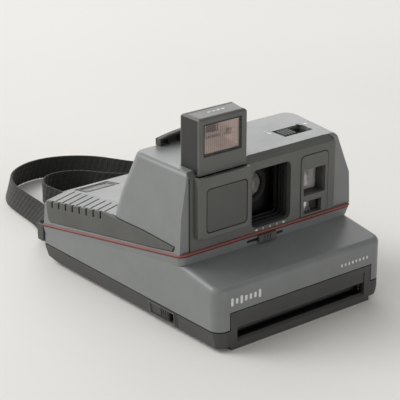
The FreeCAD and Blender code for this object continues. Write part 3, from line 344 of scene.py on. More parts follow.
def coated(name, dark, light):
    """Coated optical glass, part mirror: the slow light and dark bands in its colour are painted reflection,
    and the same noise gives faint smears.
    """
    material, tree, shader = nodes_of(name)
    shader.inputs["Metallic"].default_value = 0.35
    shader.inputs["Transmission Weight"].default_value = 0.25
    shader.inputs["Coat Weight"].default_value = 1.0
    shader.inputs["Coat Roughness"].default_value = 0.03
    painted_reflection = noise_of(tree, 130, 3, 0.55)
    tree.links.new(ramp_of(tree, painted_reflection, dark, light, 0.36, 0.64), shader.inputs["Base Color"])
    tree.links.new(spread_of(tree, painted_reflection, 0.05, 0.2), shader.inputs["Roughness"])
    tree.links.new(bump_of(tree, painted_reflection, 0.0004, 0.35), shader.inputs["Normal"])
    return material


# The red trim lies along a plane that falls towards the back: z = RIM_HEIGHT - RIM_SLOPE * y.
RIM_SLOPE, RIM_HEIGHT = 0.1728, 0.03598
WARM = (0.985, 1.0, 0.94)
MATERIALS = {
    "shell_grey": plastic("shell_grey", 124, (0.95, 1.0, 1.0), 0.36),
    "shell_black": plastic("shell_black", 64, (1.0, 1.0, 0.96), 0.5),
    "bezel_dark": plastic("bezel_dark", 92, WARM, 0.45),
    "button_dark": plastic("button_dark", 78, WARM, 0.5),
    "grip_dark": soft_touch("grip_dark", 84, WARM),
    # The trim's darker lower band is painted shade along the strip's underside; the upper tone is its muted
    # red.
    "trim_red": two_tone_painted_shade("trim_red", (0.22, 0.075, 0.065), (0.14, 0.014, 0.012), (0, RIM_SLOPE, 1),
                         RIM_HEIGHT + 0.0009, 0.32),
    "inner_black": plastic("inner_black", 20, (1, 1, 1), 0.6, 2500, 8),
    "gear_plastic": plastic("gear_plastic", 205, (1, 0.98, 0.92), 0.4, 2500),
    "part_black": plastic("part_black", 36, WARM, 0.5, 2500),
    "motor_can": metal("motor_can", (0.55, 0.55, 0.57), 0.3, (1, 8, 8)),
    "contact_brass": metal("contact_brass", (0.85, 0.62, 0.3), 0.28, (8, 1, 8)),
    "board_green": lacquered("board_green", (0.03, 0.16, 0.07)),
    "steel": metal("steel", (0.66, 0.66, 0.66), 0.27, (1, 9, 9)),
    "reflector_bright": gilded("reflector_bright", (1.0, 0.93, 0.90), 0.14),
    "mirror_glass": gilded("mirror_glass", (0.92, 0.93, 0.94), 0.02),
    "glass_clear": glass("glass_clear", (0.93, 0.96, 0.96), 0.9),
    "flash_pane": ribbed_pane("flash_pane"),
    "strap_webbing": webbing("strap_webbing"),
}
INK = print_ink("print_ink", 228)
# The optical glass's light and dark bands are painted reflection.
GLASS_PAINTED_REFLECTION = coated("optic_painted_reflection", (0.30, 0.27, 0.27), (0.82, 0.79, 0.77))
BLUED = metal("blued_steel", (0.05, 0.05, 0.055), 0.4, (1, 9, 9))
OWN_FINISH = {"lower_roller": BLUED, "upper_roller": BLUED, "roller_frame": BLUED, "hinge_pin": BLUED}
SLOT_OF = {part["node"]: part["material_slot"] for part in frame["record"]["subparts"]}
BODY_OF = {name: body for body, names in frame["record"]["behaviour"]["bodies"].items()
           for name in names}


# ---------------------------------------------------------------- piece helpers

SHARP = math.radians(25)  # edges that turn by more than this are rounded
FLAT = 0.01  # radians: faces that turn by less are joined
WELD = 2e-6  # metres: points nearer than this are one


def finished(name, mesh, material, body="camera", smooth=True):
    """An object from a bmesh, in a material, riding on a body."""
    data = bpy.data.meshes.new(name)
    bmesh.ops.recalc_face_normals(mesh, faces=mesh.faces)
    mesh.to_mesh(data)
    mesh.free()
    piece = bpy.data.objects.new(name, data)
    bpy.context.scene.collection.objects.link(piece)
    if smooth:
        data.shade_smooth()
        piece.modifiers.new("weighted", "WEIGHTED_NORMAL").keep_sharp = True
    if material in MATERIALS:
        data.materials.append(MATERIALS[material])
    else:
        data.materials.append(material)
    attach(piece, body)
    return piece


def soften(mesh, radius):
    """Rounds the edges of a mesh where its faces turn by more than SHARP."""
    sharp = [edge for edge in mesh.edges if edge.calc_face_angle(0) > SHARP and edge.calc_length() > 0]
    bmesh.ops.bevel(mesh, geom=sharp, offset=radius, offset_type="OFFSET", segments=2,
                    profile=0.5, affect="EDGES", clamp_overlap=True)


def plates(name, outlines, lift, material, body="camera", radius=0.0):
    """Flat outlines of points, each raised by the vector lift, as one piece."""
    mesh = bmesh.new()
    for outline in outlines:
        foot = [mesh.verts.new(point) for point in outline]
        top = [mesh.verts.new(Vector(point) + Vector(lift)) for point in outline]
        mesh.faces.new(foot)
        mesh.faces.new(reversed(top))
        for index, start in enumerate(foot):
            after = (index + 1) % len(foot)
            mesh.faces.new((start, top[index], top[after], foot[after]))
    if radius:
        soften(mesh, radius)
    return finished(name, mesh, material, body, smooth=bool(radius))


def turned(name, centre, profile, axis, material, segments, body="camera"):
    """A closed outline of (radius, place along the axis), in metres, turned about the axis."""
    mesh = bmesh.new()
    to_axis = {"x": Matrix.Rotation(math.pi / 2, 3, "Y"), "y": Matrix.Rotation(-math.pi / 2, 3, "X"),
               "z": Matrix.Identity(3)}[axis]
    rings = []
    for step in range(segments):
        angle = 2 * math.pi * step / segments
        rings.append([mesh.verts.new(Vector(centre) + to_axis @ Vector((
            radius * math.cos(angle), radius * math.sin(angle), place))) for radius, place in profile])
    for step in range(segments):
        here, after = rings[step], rings[(step + 1) % segments]
        for index in range(len(profile)):
            nearby = (index + 1) % len(profile)
            mesh.faces.new((here[index], after[index], after[nearby], here[nearby]))
    bmesh.ops.remove_doubles(mesh, verts=mesh.verts, dist=1e-7)
    return finished(name, mesh, material, body)


def finish_of(node):
    """The material of a CAD node: its own where it has one, or its slot's."""
    return OWN_FINISH.get(node, MATERIALS[SLOT_OF[node]])


def moulded(node, radius):
    """A copy of a CAD node with its sharp edges rounded, which stands for the node."""
    mesh = bmesh.new()
    mesh.from_mesh(frame["nodes"][node].data)
    bmesh.ops.remove_doubles(mesh, verts=mesh.verts, dist=WELD)
    bmesh.ops.dissolve_limit(mesh, angle_limit=FLAT, verts=mesh.verts, edges=mesh.edges)
    soften(mesh, radius)
    piece = finished(f"{node}_moulded", mesh, finish_of(node), BODY_OF[node])
    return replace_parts(piece, node)


def corners(node):
    """A CAD node's lowest and highest corner as vectors."""
    low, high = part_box(node)
    return Vector(low), Vector(high)


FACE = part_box("film_door")[0][1]


def at(x, depth, z):
    """A point in metres from millimetres, with its depth behind the door's front face."""
    return Vector((x * MM, FACE + depth * MM, z * MM))


# ---------------------------------------------------------------- strap

# The same route as the CAD strap's, in millimetres: x, depth, height.
STRAP_ROUTE = [
    (-53, 165.6, 16.5), (-46, 177, 11), (-36, 190, 7.4), (-30, 207, 7.4), (-28.6, 228, 7.4),
    (-26, 249, 7.4), (-14, 268, 7.4), (8, 277, 7.4), (29, 272, 7.4), (46, 258, 7.4),
    (56, 239, 7.4), (67, 221, 7.4), (85, 208, 7.4), (101, 191, 7.4), (92, 171, 7.4),
    (70, 170, 7.4), (60, 189, 7.4), (52, 209, 7.4), (35, 223, 7.4), (24, 242, 7.4),
    (4, 249, 7.4), (-10, 237, 7.4), (-8, 216, 7.4), (-4, 196, 7.4), (11, 183, 7.4),
    (32, 180, 7.4), (47, 176, 10), (54, 165.6, 16.5),
]
STRAP_WIDE = 0.014
STRAP_THICK = 0.0015


def smooth_line(route):
    """Points along the NURBS curve that has the route as its control points."""
    curve = bpy.data.curves.new("strap_line", "CURVE")
    curve.dimensions = "3D"
    curve.resolution_u = 14
    spline = curve.splines.new("NURBS")
    spline.points.add(len(route) - 1)
    for point, place in zip(spline.points, route):
        point.co = (*at(*place), 1)
    spline.order_u = 3
    spline.use_endpoint_u = True
    holder = bpy.data.objects.new("strap_line", curve)
    mesh = bpy.data.meshes.new_from_object(holder)
    points = [vertex.co.copy() for vertex in mesh.vertices]
    bpy.data.meshes.remove(mesh)
    bpy.data.objects.remove(holder)
    bpy.data.curves.remove(curve)
    return points


def eased(value):
    """0 below 0, 1 above 1 and a smooth step between."""
    value = max(0.0, min(1.0, value))
    return value * value * (3 - 2 * value)


def strap_lean(run, length):
    """How far the band leans from upright: flat at both lugs, and still turning after the left one."""
    flat = math.radians(90)
    turning = math.radians(34) * math.exp(-((run - 0.05) / 0.06) ** 2)
    left = flat * (1 - eased(run / 0.03)) + turning
    right = -flat * (1 - eased((length - run) / 0.03))
    waver = math.radians(3) * math.sin(run * 60)
    return min(left, flat) + right + waver


def strap():
    """The webbing band, on its edge along the route and narrowed where it is sewn round the lugs."""
    line = smooth_line(STRAP_ROUTE)
    runs = [0.0]
    for before, here in zip(line, line[1:]):
        runs.append(runs[-1] + (here - before).length)
    length = runs[-1]
    mesh = bmesh.new()
    uv = mesh.loops.layers.uv.new("weave")
    face = [(-1, -0.4), (-0.97, -0.9), (-0.9, -1), (-0.45, -0.92), (0, -0.9), (0.45, -0.92), (0.9, -1),
            (0.97, -0.9), (1, -0.4)]
    section = face + [(-across, -out) for across, out in face]
    narrow, taper, thread = 0.54, 0.032, 0.0011
    rows = []
    for index, place in enumerate(line):
        way = (line[min(index + 1, len(line) - 1)] - line[max(index - 1, 0)]).normalized()
        inward = way.cross(Vector((0, 0, 1))).normalized()
        lean = strap_lean(runs[index], length)
        end = eased(min(runs[index], length - runs[index]) / taper)
        half = STRAP_WIDE / 2 * (narrow + (1 - narrow) * end)
        up = way.cross(inward).normalized() * -1
        across = up * math.cos(lean) + inward * math.sin(lean)
        out = inward * math.cos(lean) - up * math.sin(lean)
        rest = STRAP_WIDE / 2 * (1 - math.cos(lean)) - STRAP_THICK / 2 * abs(math.sin(lean))
        middle = place - Vector((0, 0, rest * end))
        rows.append([mesh.verts.new(middle + across * (half * u) + out * (STRAP_THICK / 2 * v))
                     for u, v in section])
    for index, (row, after) in enumerate(zip(rows, rows[1:])):
        for side in range(len(section)):
            nearby = (side + 1) % len(section)
            quad = mesh.faces.new((row[side], row[nearby], after[nearby], after[side]))
            ends = ((0, side), (0, side + 1), (1, side + 1), (1, side))
            for loop, (step, corner) in zip(quad.loops, ends):
                loop[uv].uv = (runs[index + step], corner * thread)
    mesh.faces.new(rows[0])
    mesh.faces.new(reversed(rows[-1]))
    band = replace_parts(finished("strap_band", mesh, "strap_webbing"), "strap")
    loops = [strap_loop(side) for side in (-1, 1)]
    lugs = moulded("strap_lugs", 0.0004)


def strap_loop(side):
    """The end of the webbing, folded round the lug's bar and sewn."""
    bar_low, bar_high = (162.0, 12.4), (164.0, 22.6)
    gap, thick, bend, steps = 0.35, 1.0, 0.6, 32
    outer, inner = 57.6, 50.4
    outline = []
    for grow in (gap, gap + thick):
        ring = []
        for step in range(steps):
            angle = 2 * math.pi * step / steps
            place = []
            for low, high, turn in zip(bar_low, bar_high, (math.cos(angle), math.sin(angle))):
                straight = math.copysign((high - low) / 2 - bend, turn)
                place.append((low + high) / 2 + straight + (grow + bend) * turn)
            ring.append(place)
        outline.append(ring)
    mesh = bmesh.new()
    uv = mesh.loops.layers.uv.new("weave")
    sheets = []
    for x in (side * outer, side * inner):
        sheets.append([[mesh.verts.new(at(x, *place)) for place in ring] for ring in outline])
    for step in range(steps):
        after = (step + 1) % steps
        for first, second in (((0, 0), (0, 1)), ((0, 1), (1, 1)), ((1, 1), (1, 0)), ((1, 0), (0, 0))):
            a, b = sheets[first[0]][first[1]], sheets[second[0]][second[1]]
            face = mesh.faces.new((a[step], b[step], b[after], a[after]))
            for loop in face.loops:
                loop[uv].uv = (loop.vert.co.z, loop.vert.co.x)
    return finished("strap_loop_left" if side < 0 else "strap_loop_right", mesh, "strap_webbing")


strap()


# ---------------------------------------------------------------- shells, softened from the CAD

SOFT = {
    "bottom_shell": 0.0004, "lower_shell": 0.0005, "red_trim": 0.0002, "upper_cover": 0.0004,
    "deck_panel": 0.0002, "grip_left": 0.0003, "grip_right": 0.0003, "front_bezel": 0.0004,
    "finder_panel": 0.0003, "shutter_block": 0.0002, "shutter_button": 0.0003,
    "flash_case": 0.0003, "film_door": 0.0003, "rear_hood": 0.0003, "flash_release": 0.0002,
    "release_track": 0.0002, "exposure_slider": 0.00015, "door_latch": 0.00015,
    "lens_tunnel": 0.0003, "lens_mount": 0.0002, "finder_tunnel": 0.0002, "lens_cover": 0.0002,
    "film_frame": 0.0003, "light_box": 0.0003, "roller_frame": 0.00015, "flash_carriage": 0.0002,
    "drive_motor": 0.0004, "circuit_board": 0.0002, "flash_capacitor": 0.0006, "film_pick": 0.0002,
}
for node, radius in SOFT.items():
    moulded(node, radius)


# ---------------------------------------------------------------- small helpers for the details

X, Y, Z = Vector((1, 0, 0)), Vector((0, 1, 0)), Vector((0, 0, 1))
HAIR = 0.00006


def round_rect(half, corner, steps=5):
    """A rounded rectangle about its middle, as points across and up."""
    points = []
    for quarter, (right, high) in enumerate(((1, 1), (-1, 1), (-1, -1), (1, -1))):
        for step in range(steps + 1):
            angle = math.pi / 2 * (quarter + step / steps)
            points.append((right * (half[0] - corner) + corner * math.cos(angle),
                           high * (half[1] - corner) + corner * math.sin(angle)))
    return points


def frame_ring(name, middle, right, up, half, wall, lift, corner, material, body="camera"):
    """A rounded rectangular rim with a given wall that stands lift proud of a plane."""
    mesh = bmesh.new()
    rings = []
    for inset in (0, wall):
        outline = round_rect((half[0] - inset, half[1] - inset), max(corner - inset, 0.0001))
        for height in (0, 1):
            rings.append([mesh.verts.new(middle + right * u + up * v + lift * height) for u, v in outline])
    outer_low, outer_high, inner_low, inner_high = rings
    for first, second in ((outer_low, outer_high), (outer_high, inner_high), (inner_high, inner_low),
                          (inner_low, outer_low)):
        for index, start in enumerate(first):
            after = (index + 1) % len(first)
            mesh.faces.new((start, first[after], second[after], second[index]))
    return finished(name, mesh, material, body, smooth=False)


def strokes(name, middle, right, up, lift, widths, heights, pitch, body="camera"):
    """A row of plain printed strokes with round ends, in place of lettering."""
    outlines = []
    for index, (width, height) in enumerate(zip(widths, heights)):
        shift = (index - (len(widths) - 1) / 2) * pitch
        outlines.append([middle + right * (shift + u) + up * v
                         for u, v in round_rect((width / 2, height / 2), min(width, height) * 0.45, 3)])
    return plates(name, outlines, lift, INK, body)


def disc(middle, right, up, radius):
    """Points round a circle in a plane."""
    steps = 20
    return [middle + right * radius * math.cos(2 * math.pi * step / steps)
            + up * radius * math.sin(2 * math.pi * step / steps) for step in range(steps)]


def shadow_ribbon(name, path, width, deep, closed=False):
    """A black strip of a given width along a path of points, extruded by the vector deep, as painted shadow
    in a gap.
    """
    mesh = bmesh.new()
    count = len(path)
    rows = []
    for index, place in enumerate(path):
        before = path[index - 1] if closed or index else place
        after = path[(index + 1) % count] if closed or index < count - 1 else place
        first, second = place - before, after - place
        ways = [way.normalized() for way in (first, second) if way.length > 0]
        sides = [way.cross(deep).normalized() for way in ways]
        side = sum(sides, Vector()).normalized()
        reach = width / 2 / max(side.dot(sides[0]), 0.3)
        left, right = place + side * reach, place - side * reach
        rows.append([mesh.verts.new(point) for point in (left, right, right + deep, left + deep)])
    for index in range(count if closed else count - 1):
        row, after = rows[index], rows[(index + 1) % count]
        for corner in range(4):
            nearby = (corner + 1) % 4
            mesh.faces.new((row[corner], row[nearby], after[nearby], after[corner]))
    if not closed:
        mesh.faces.new(rows[0])
        mesh.faces.new(reversed(rows[-1]))
    return finished(name, mesh, "inner_black", smooth=False)


def arch(low, high, radius, depth, corners_below=False):
    """A path up one side of an opening, over its top with round corners, and down the other."""
    steps = 6
    (left, foot), (right, top) = low, high
    bends = [((left + radius, top - radius), 180, 90), ((right - radius, top - radius), 90, 0)]
    if corners_below:
        bends += [((right - radius, foot + radius), 0, -90), ((left + radius, foot + radius), -90, -180)]
    points = [] if corners_below else [(left, foot)]
    for (x, z), start, end in bends:
        for step in range(steps + 1):
            angle = math.radians(start + (end - start) * step / steps)
            points.append((x + radius * math.cos(angle), z + radius * math.sin(angle)))
    points += [] if corners_below else [(right, foot)]
    return [at(x, depth, z) for x, z in points]


# ---------------------------------------------------------------- painted shadow in the gaps

def painted_gap_shadows():
    """Black strips down in the gaps between the shells and round the door, finder panel and button: painted
    shadow that makes the gaps read dark.
    """
    seam, door_edge, half, front, back, corner = 11.05, 50.9, 58.35, 0.7, 157.3, 5.9
    right_side = [(door_edge, front)]
    for turn in range(90, -1, -15):
        out, ahead = math.cos(math.radians(turn)), math.sin(math.radians(turn))
        right_side.append((half - corner + corner * out, front + corner - corner * ahead))
    right_side.append((half, back))
    around = [(-x, depth) for x, depth in right_side] + right_side[::-1]
    shadow_ribbon("seam_painted_shadow", [at(x, depth, seam) for x, depth in around], width=0.0006, deep=Z * 0.0007)
    door = arch(low=(-50.32, 11.9), high=(50.32, 21.22), radius=0.5, depth=0.35)
    shadow_ribbon("door_gap_painted_shadow", door, width=0.0004, deep=Y * 0.001)
    panel = arch(low=(22.24, 46), high=(42.26, 82.26), radius=2.8, depth=28.2)
    shadow_ribbon("panel_gap_painted_shadow", panel, width=0.00042, deep=Y * 0.001)
    button = arch(low=(-46.28, 56.52), high=(-19.02, 80.68), radius=2.45, depth=24.3, corners_below=True)
    shadow_ribbon("button_gap_painted_shadow", button, width=0.00042, deep=Y * 0.0008, closed=True)
    # A flush black line on the top face: painted shadow of the seam there.
    face = [at(x, 31.06, 90.0) for x in (-13.2, 41.2)]
    shadow_ribbon("face_gap_painted_shadow", face, width=0.0004, deep=Z * HAIR)


# ---------------------------------------------------------------- flash

def reflector():
    """A bright pyramid behind the ribbed pane, with a darker plate in its back wall."""
    low, high = corners("flash_reflector")
    middle = (low + high) / 2
    wall, clear, short = 0.0004, 0.0002, 0.0012
    half = ((high.x - low.x) / 2 - 0.0001, (high.z - low.z) / 2 - 0.0001)
    floor_half = (half[0] * 0.36, half[1] * 0.42)
    shift = (0.0008, 0.0014)
    signs = ((-1, -1), (1, -1), (1, 1), (-1, 1))
    mouth = [(right * half[0], up * half[1]) for right, up in signs]
    back_wall = [(right * floor_half[0] + shift[0], up * floor_half[1] + shift[1]) for right, up in signs]
    mesh = bmesh.new()
    shells = []
    for grow in (0, wall):
        front = [mesh.verts.new((middle.x + x - math.copysign(wall - grow, x), low.y + clear,
                                 middle.z + z - math.copysign(wall - grow, z))) for x, z in mouth]
        back = [mesh.verts.new((middle.x + x + math.copysign(grow, x), high.y - short + grow,
                                middle.z + z + math.copysign(grow, z))) for x, z in back_wall]
        shells.append((front, back))
    (mouth_in, back_in), (mouth_out, back_out) = shells
    for first, second in ((mouth_in, back_in), (mouth_out, back_out), (mouth_in, mouth_out)):
        for index, start in enumerate(first):
            after = (index + 1) % 4
            mesh.faces.new((start, first[after], second[after], second[index]))
    mesh.faces.new(back_in)
    mesh.faces.new(back_out)
    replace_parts(finished("reflector_pyramid", mesh, "reflector_bright", "flash_head", smooth=False),
                "flash_reflector")
    shrink, face = 0.94, high.y - short - 0.00005
    plate = [Vector((middle.x + x * shrink, face, middle.z + z * shrink + 0.06 * shift[1]))
             for x, z in back_wall]
    plates("reflector_back_plate", [plate], -Y * 0.0001, "bezel_dark", "flash_head")


def flash():
    """A dark plate on the flash head's left side as painted shade, the tube's ends, the print on top and a
    flush black line there as painted groove shadow, the pane's rim.
    """
    low, high = corners("flash_case")
    front, back = 0.0012, high.y - low.y - 0.0008
    foot, head = low.z + 0.0008, high.z - 0.0010
    outline = ((front, foot), (back, foot), (back, head), (front, head))
    side_shade = [Vector((low.x, low.y + y, z)) for y, z in outline]
    plates("flash_left_side_painted_shade", [side_shade], -X * 0.00008, "part_black", "flash_head")
    low, high = corners("flash_tube")
    middle_y, middle_z = (low.y + high.y) / 2, (low.z + high.z) / 2
    for side, x, inward in (("left", low.x, 0.0025), ("right", high.x, -0.0025)):
        turned(f"tube_cap_{side}", (x, middle_y, middle_z),
               [(0.0, 0.0), (0.0018, 0.0), (0.0019, inward / 2), (0.0018, inward), (0.0, inward)],
               "x", "steel", segments=24, body="flash_head")
    low, high = corners("flash_case")
    top = high.z
    # A flush black line across the top: painted shadow in place of a groove.
    near, far, start = 0.0118, 0.0126, low.x + 0.0016
    groove = [(start, near), (high.x - 0.0028, near), (high.x - 0.0026, far), (start, far)]
    plates("flash_top_painted_groove_shadow", [[Vector((x, low.y + y, top)) for x, y in groove]], Z * HAIR,
           MATERIALS["inner_black"], "flash_head")
    strokes("flash_top_marks", Vector((-0.0322, low.y + 0.0072, top)), X, Y, lift=Z * HAIR,
            widths=(0.0022,) * 4, heights=(0.0008, 0.0008, 0.0014, 0.0014), pitch=0.0031, body="flash_head")
    low, high = corners("flash_window")
    middle = Vector(((low.x + high.x) / 2, low.y - 0.0001, (low.z + high.z) / 2))
    frame_ring("flash_window_frame", middle, X, Z, half=((high.x - low.x) / 2, (high.z - low.z) / 2),
               wall=0.0005, lift=Y * 0.0004, corner=0.0006, material=MATERIALS["inner_black"],
               body="flash_head")


def lift_spring():
    """The coil that lifts the flash, drawn at one fixed length."""
    low, high = corners("flash_spring")
    wire, turns, steps, sides = 0.00035, 14.25, 24, 8
    middle = (low + high) / 2
    reach = (high.x - low.x) / 2 - wire
    rise = high.z - low.z - 2 * wire
    count = round(turns * steps)
    mesh = bmesh.new()
    rings = []
    for step in range(count + 1):
        angle = math.tau * turns * step / count
        out = Vector((math.cos(angle), math.sin(angle), 0))
        centre = Vector((middle.x, middle.y, low.z + wire + rise * step / count)) + out * reach
        ring = []
        for side in range(sides):
            round_wire = math.tau * side / sides
            offset = (out * math.cos(round_wire) + Z * math.sin(round_wire)) * wire
            ring.append(mesh.verts.new(centre + offset))
        rings.append(ring)
    for here, after in zip(rings, rings[1:]):
        for side in range(sides):
            nearby = (side + 1) % sides
            mesh.faces.new((here[side], after[side], after[nearby], here[nearby]))
    mesh.faces.new(rings[0])
    mesh.faces.new(reversed(rings[-1]))
    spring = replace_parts(finished("lift_spring_coil", mesh, "steel"), "flash_spring")
    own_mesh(spring)


# ---------------------------------------------------------------- lens and viewfinder

def taking_lens():
    """The coated front element, its retaining rings, and the baffles in the lens tunnel."""
    low, high = corners("front_lens")
    centre = Vector(((low.x + high.x) / 2, 0, (low.z + high.z) / 2))
    radius = (high.x - low.x) / 2
    front, rear = low.y, high.y
    bulge = 0.0016
    profile = [(0.0, rear), (radius, rear), (radius, front + bulge)]
    profile += [(radius * math.cos(math.radians(turn)), front + bulge * (1 - math.sin(math.radians(turn))))
                for turn in range(10, 91, 10)]
    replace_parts(turned("front_element", centre, profile, "y", GLASS_PAINTED_REFLECTION, segments=72), "front_lens")
    rings = (("lens_ring", 0.0001, 0.0011, 0.0013, "part_black"),
             ("lens_ring_bright", 0.0013, 0.0017, 0.0006, "steel"),
             ("lens_ring_outer", 0.0025, 0.0031, 0.0006, "part_black"))
    for name, inner, outer, behind, material in rings:
        y = front + behind
        turned(name, centre, [(radius + inner, y), (radius + inner + 0.0002, y - 0.0005),
                              (radius + outer, y - 0.0003), (radius + outer, y + 0.0004),
                              (radius + inner, y + 0.0004)], "y", material, segments=72)
    low, high = corners("lens_tunnel")
    middle = (low + high) / 2
    bore = ((high.x - low.x) / 2 - 0.0014, (high.z - low.z) / 2 - 0.0014)
    for index, depth in enumerate((0.0022, 0.0048, 0.0074)):
        frame_ring(f"tunnel_baffle_{index}", Vector((middle.x, low.y + depth, middle.z)), X, Z,
                   half=(bore[0] - 0.0001, bore[1] - 0.0001), wall=0.0007 + 0.0006 * index,
                   lift=Y * 0.0007, corner=0.0036, material="inner_black")


def finder_glass():
    """The finder's front glass, dished on both faces."""
    low, high = corners("finder_window")
    steps, depth = 14, 0.0005
    line, count = steps + 1, (steps + 1) ** 2
    mesh = bmesh.new()
    sheets = []
    for side, y in ((1, low.y), (-1, high.y)):
        sheet = []
        for row in range(line):
            for column in range(line):
                u, v = 2 * column / steps - 1, 2 * row / steps - 1
                dish = depth * (1 - u * u) * (1 - v * v) * side
                sheet.append(mesh.verts.new((low.x + (u + 1) / 2 * (high.x - low.x), y + dish,
                                             low.z + (v + 1) / 2 * (high.z - low.z))))
        sheets.append(sheet)
        for row in range(steps):
            for column in range(steps):
                here = row * line + column
                mesh.faces.new((sheet[here], sheet[here + 1], sheet[here + line + 1], sheet[here + line]))
    front, back = sheets
    for edge in (range(line), range(steps * line, count), range(0, count, line), range(steps, count, line)):
        for first, second in zip(edge, edge[1:]):
            mesh.faces.new((front[first], front[second], back[second], back[first]))
    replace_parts(finished("finder_front_glass", mesh, GLASS_PAINTED_REFLECTION), "finder_window")


def viewfinder():
    """The light meter's slanting lens and mask, and the rubber round the eyepiece."""
    low, high = corners("cell_window")
    split = low.x + 0.62 * (high.x - low.x)
    head = high.z - 0.0008
    lens = [(low.x, 0.0014, low.z + 0.0006), (split, 0.0002, low.z + 0.0006),
            (split - 0.002, 0.0002, head), (low.x, 0.0014, head)]
    mask = [(split + 0.0004, 0.0004, low.z + 0.0005), (high.x - 0.0004, 0.0004, low.z + 0.0005),
            (high.x - 0.0004, 0.0004, head), (split - 0.0016, 0.0004, head)]
    for name, outline, thick, material, radius in (("cell_lens", lens, 0.0012, GLASS_PAINTED_REFLECTION, 0.0002),
                                                   ("cell_mask", mask, 0.0003, "inner_black", 0.0001)):
        plates(name, [[Vector((x, low.y - proud, z)) for x, proud, z in outline]], Y * thick, material,
               radius=radius)
    low, high = corners("eyepiece")
    middle = at(0.5 * (low.x + high.x) / MM, 84.6, 67)
    slope = (at(0, 75.8, 90) - at(0, 89.7, 53)).normalized()
    proud = slope.cross(X).normalized()
    frame_ring("eyepiece_rubber", middle - proud * 0.0004, X, slope, half=(0.0092, 0.0088), wall=0.0018,
               lift=proud * 0.0014, corner=0.0026, material="grip_dark")


# ---------------------------------------------------------------- controls and print

def controls():
    """A flush black arc by the flash release, painted shadow in place of a groove, the marks by it, the
    exposure marks, and the latch's raised border.
    """
    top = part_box("upper_cover")[1][2]
    pivot, outer, inner = at(34.6, 49.2, 0), 0.0090, 0.0078
    arc = []
    for radius, turns in ((outer, range(-62, 42, 8)), (inner, range(34, -63, -8))):
        for turn in turns:
            out = Vector((radius * math.cos(math.radians(turn)), radius * math.sin(math.radians(turn)), top))
            arc.append(pivot + out)
    plates("release_arc_painted_shadow", [arc], Z * HAIR, MATERIALS["inner_black"])
    strokes("release_mark_left", at(19.6, 53.4, 0) + Z * top, Y, X, lift=Z * HAIR,
            widths=(0.0040, 0.0012), heights=(0.0010, 0.0010), pitch=0.0036)
    plates("release_mark_right", [disc(at(46.4, 51.5, 0) + Z * top, X, Y, 0.0011)], Z * HAIR, INK)
    bezel_low, _ = corners("front_bezel")
    height = bezel_low.z + 0.0009
    strokes("exposure_ticks", Vector((0.0006, bezel_low.y, height)), X, Z, lift=-Y * HAIR,
            widths=(0.0005,) * 3, heights=(0.0014,) * 3, pitch=0.0049)
    for name, x, point in (("darker", -0.0093, -1), ("lighter", 0.0105, 1)):
        outline = [Vector((x + point * along, bezel_low.y, height + up))
                   for along, up in ((-0.0010, -0.0007), (0.0012, 0), (-0.0010, 0.0007))]
        plates(f"exposure_mark_{name}", [outline], -Y * HAIR, INK)
    low, _ = corners("lower_shell")
    tall, short = 0.0046, 0.0032
    strokes("front_badge", Vector((-0.0398, low.y, 0.0272)), X, Z, lift=-Y * HAIR, widths=(0.0016,) * 7,
            heights=(tall, short, tall, short, short, short, tall), pitch=0.0031)
    strokes("front_badge_small", Vector((0.0375, low.y, 0.0264)), X, Z, lift=-Y * HAIR,
            widths=(0.0011,) * 8, heights=(0.0018,) * 8, pitch=0.0027)
    head, foot = Vector((-0.05925, 0, 0.0103)), Vector((-0.0585, 0, 0.0037))
    up = (head - foot).normalized()
    middle = (foot + head) / 2 + Y * (FACE + 0.0466)
    frame_ring("latch_border", middle, Y, up, half=(0.0110, 0.0037), wall=0.0005, lift=-X * 0.0002,
               corner=0.0007, material="bezel_dark")


def deck():
    """Black fills low in the rib grooves and their notches, painted shade that makes the grooves read dark,
    and a raised line in the inset panel.
    """
    reference = 154.4  # the depth at which the section's heights hold
    grooves, first, pitch, half_wide = 8, 98.3, 6.8, 0.67
    mesh = bmesh.new()
    for index in range(grooves):
        depth = first + pitch * index
        inner = 44.1 + 0.6 * (grooves - index)
        section = [(inner, 40.62), (58.84, 36.95), (58.94, 35.86), (60.05, 35.86), (60.05, 37.4),
                   (58.95, 38.75), (inner, 41.85 - (inner - 45) * 0.2)]
        for side in (-1, 1):
            rings = []
            for shift in (-half_wide, half_wide):
                rise = RIM_SLOPE * (reference - depth - shift)
                rings.append([mesh.verts.new(at(side * x, depth + shift, z + rise)) for x, z in section])
            front, back = rings
            mesh.faces.new(front)
            mesh.faces.new(reversed(back))
            for corner, start in enumerate(front):
                after = (corner + 1) % len(front)
                mesh.faces.new((start, back[corner], back[after], front[after]))
    finished("deck_groove_painted_shade", mesh, "inner_black", smooth=False)
    low, high = corners("deck_panel")
    along = (at(0, reference + 10, -RIM_SLOPE * 10) - at(0, reference, 0)).normalized()
    middle = (low + high) / 2
    middle.z = at(0, 0, 41.7 + RIM_SLOPE * (reference - (middle.y - FACE) / MM)).z
    frame_ring("deck_panel_line", middle, X, along, half=(0.0100, 0.0046), wall=0.0004, lift=Z * 0.0002,
               corner=0.0008, material="bezel_dark")


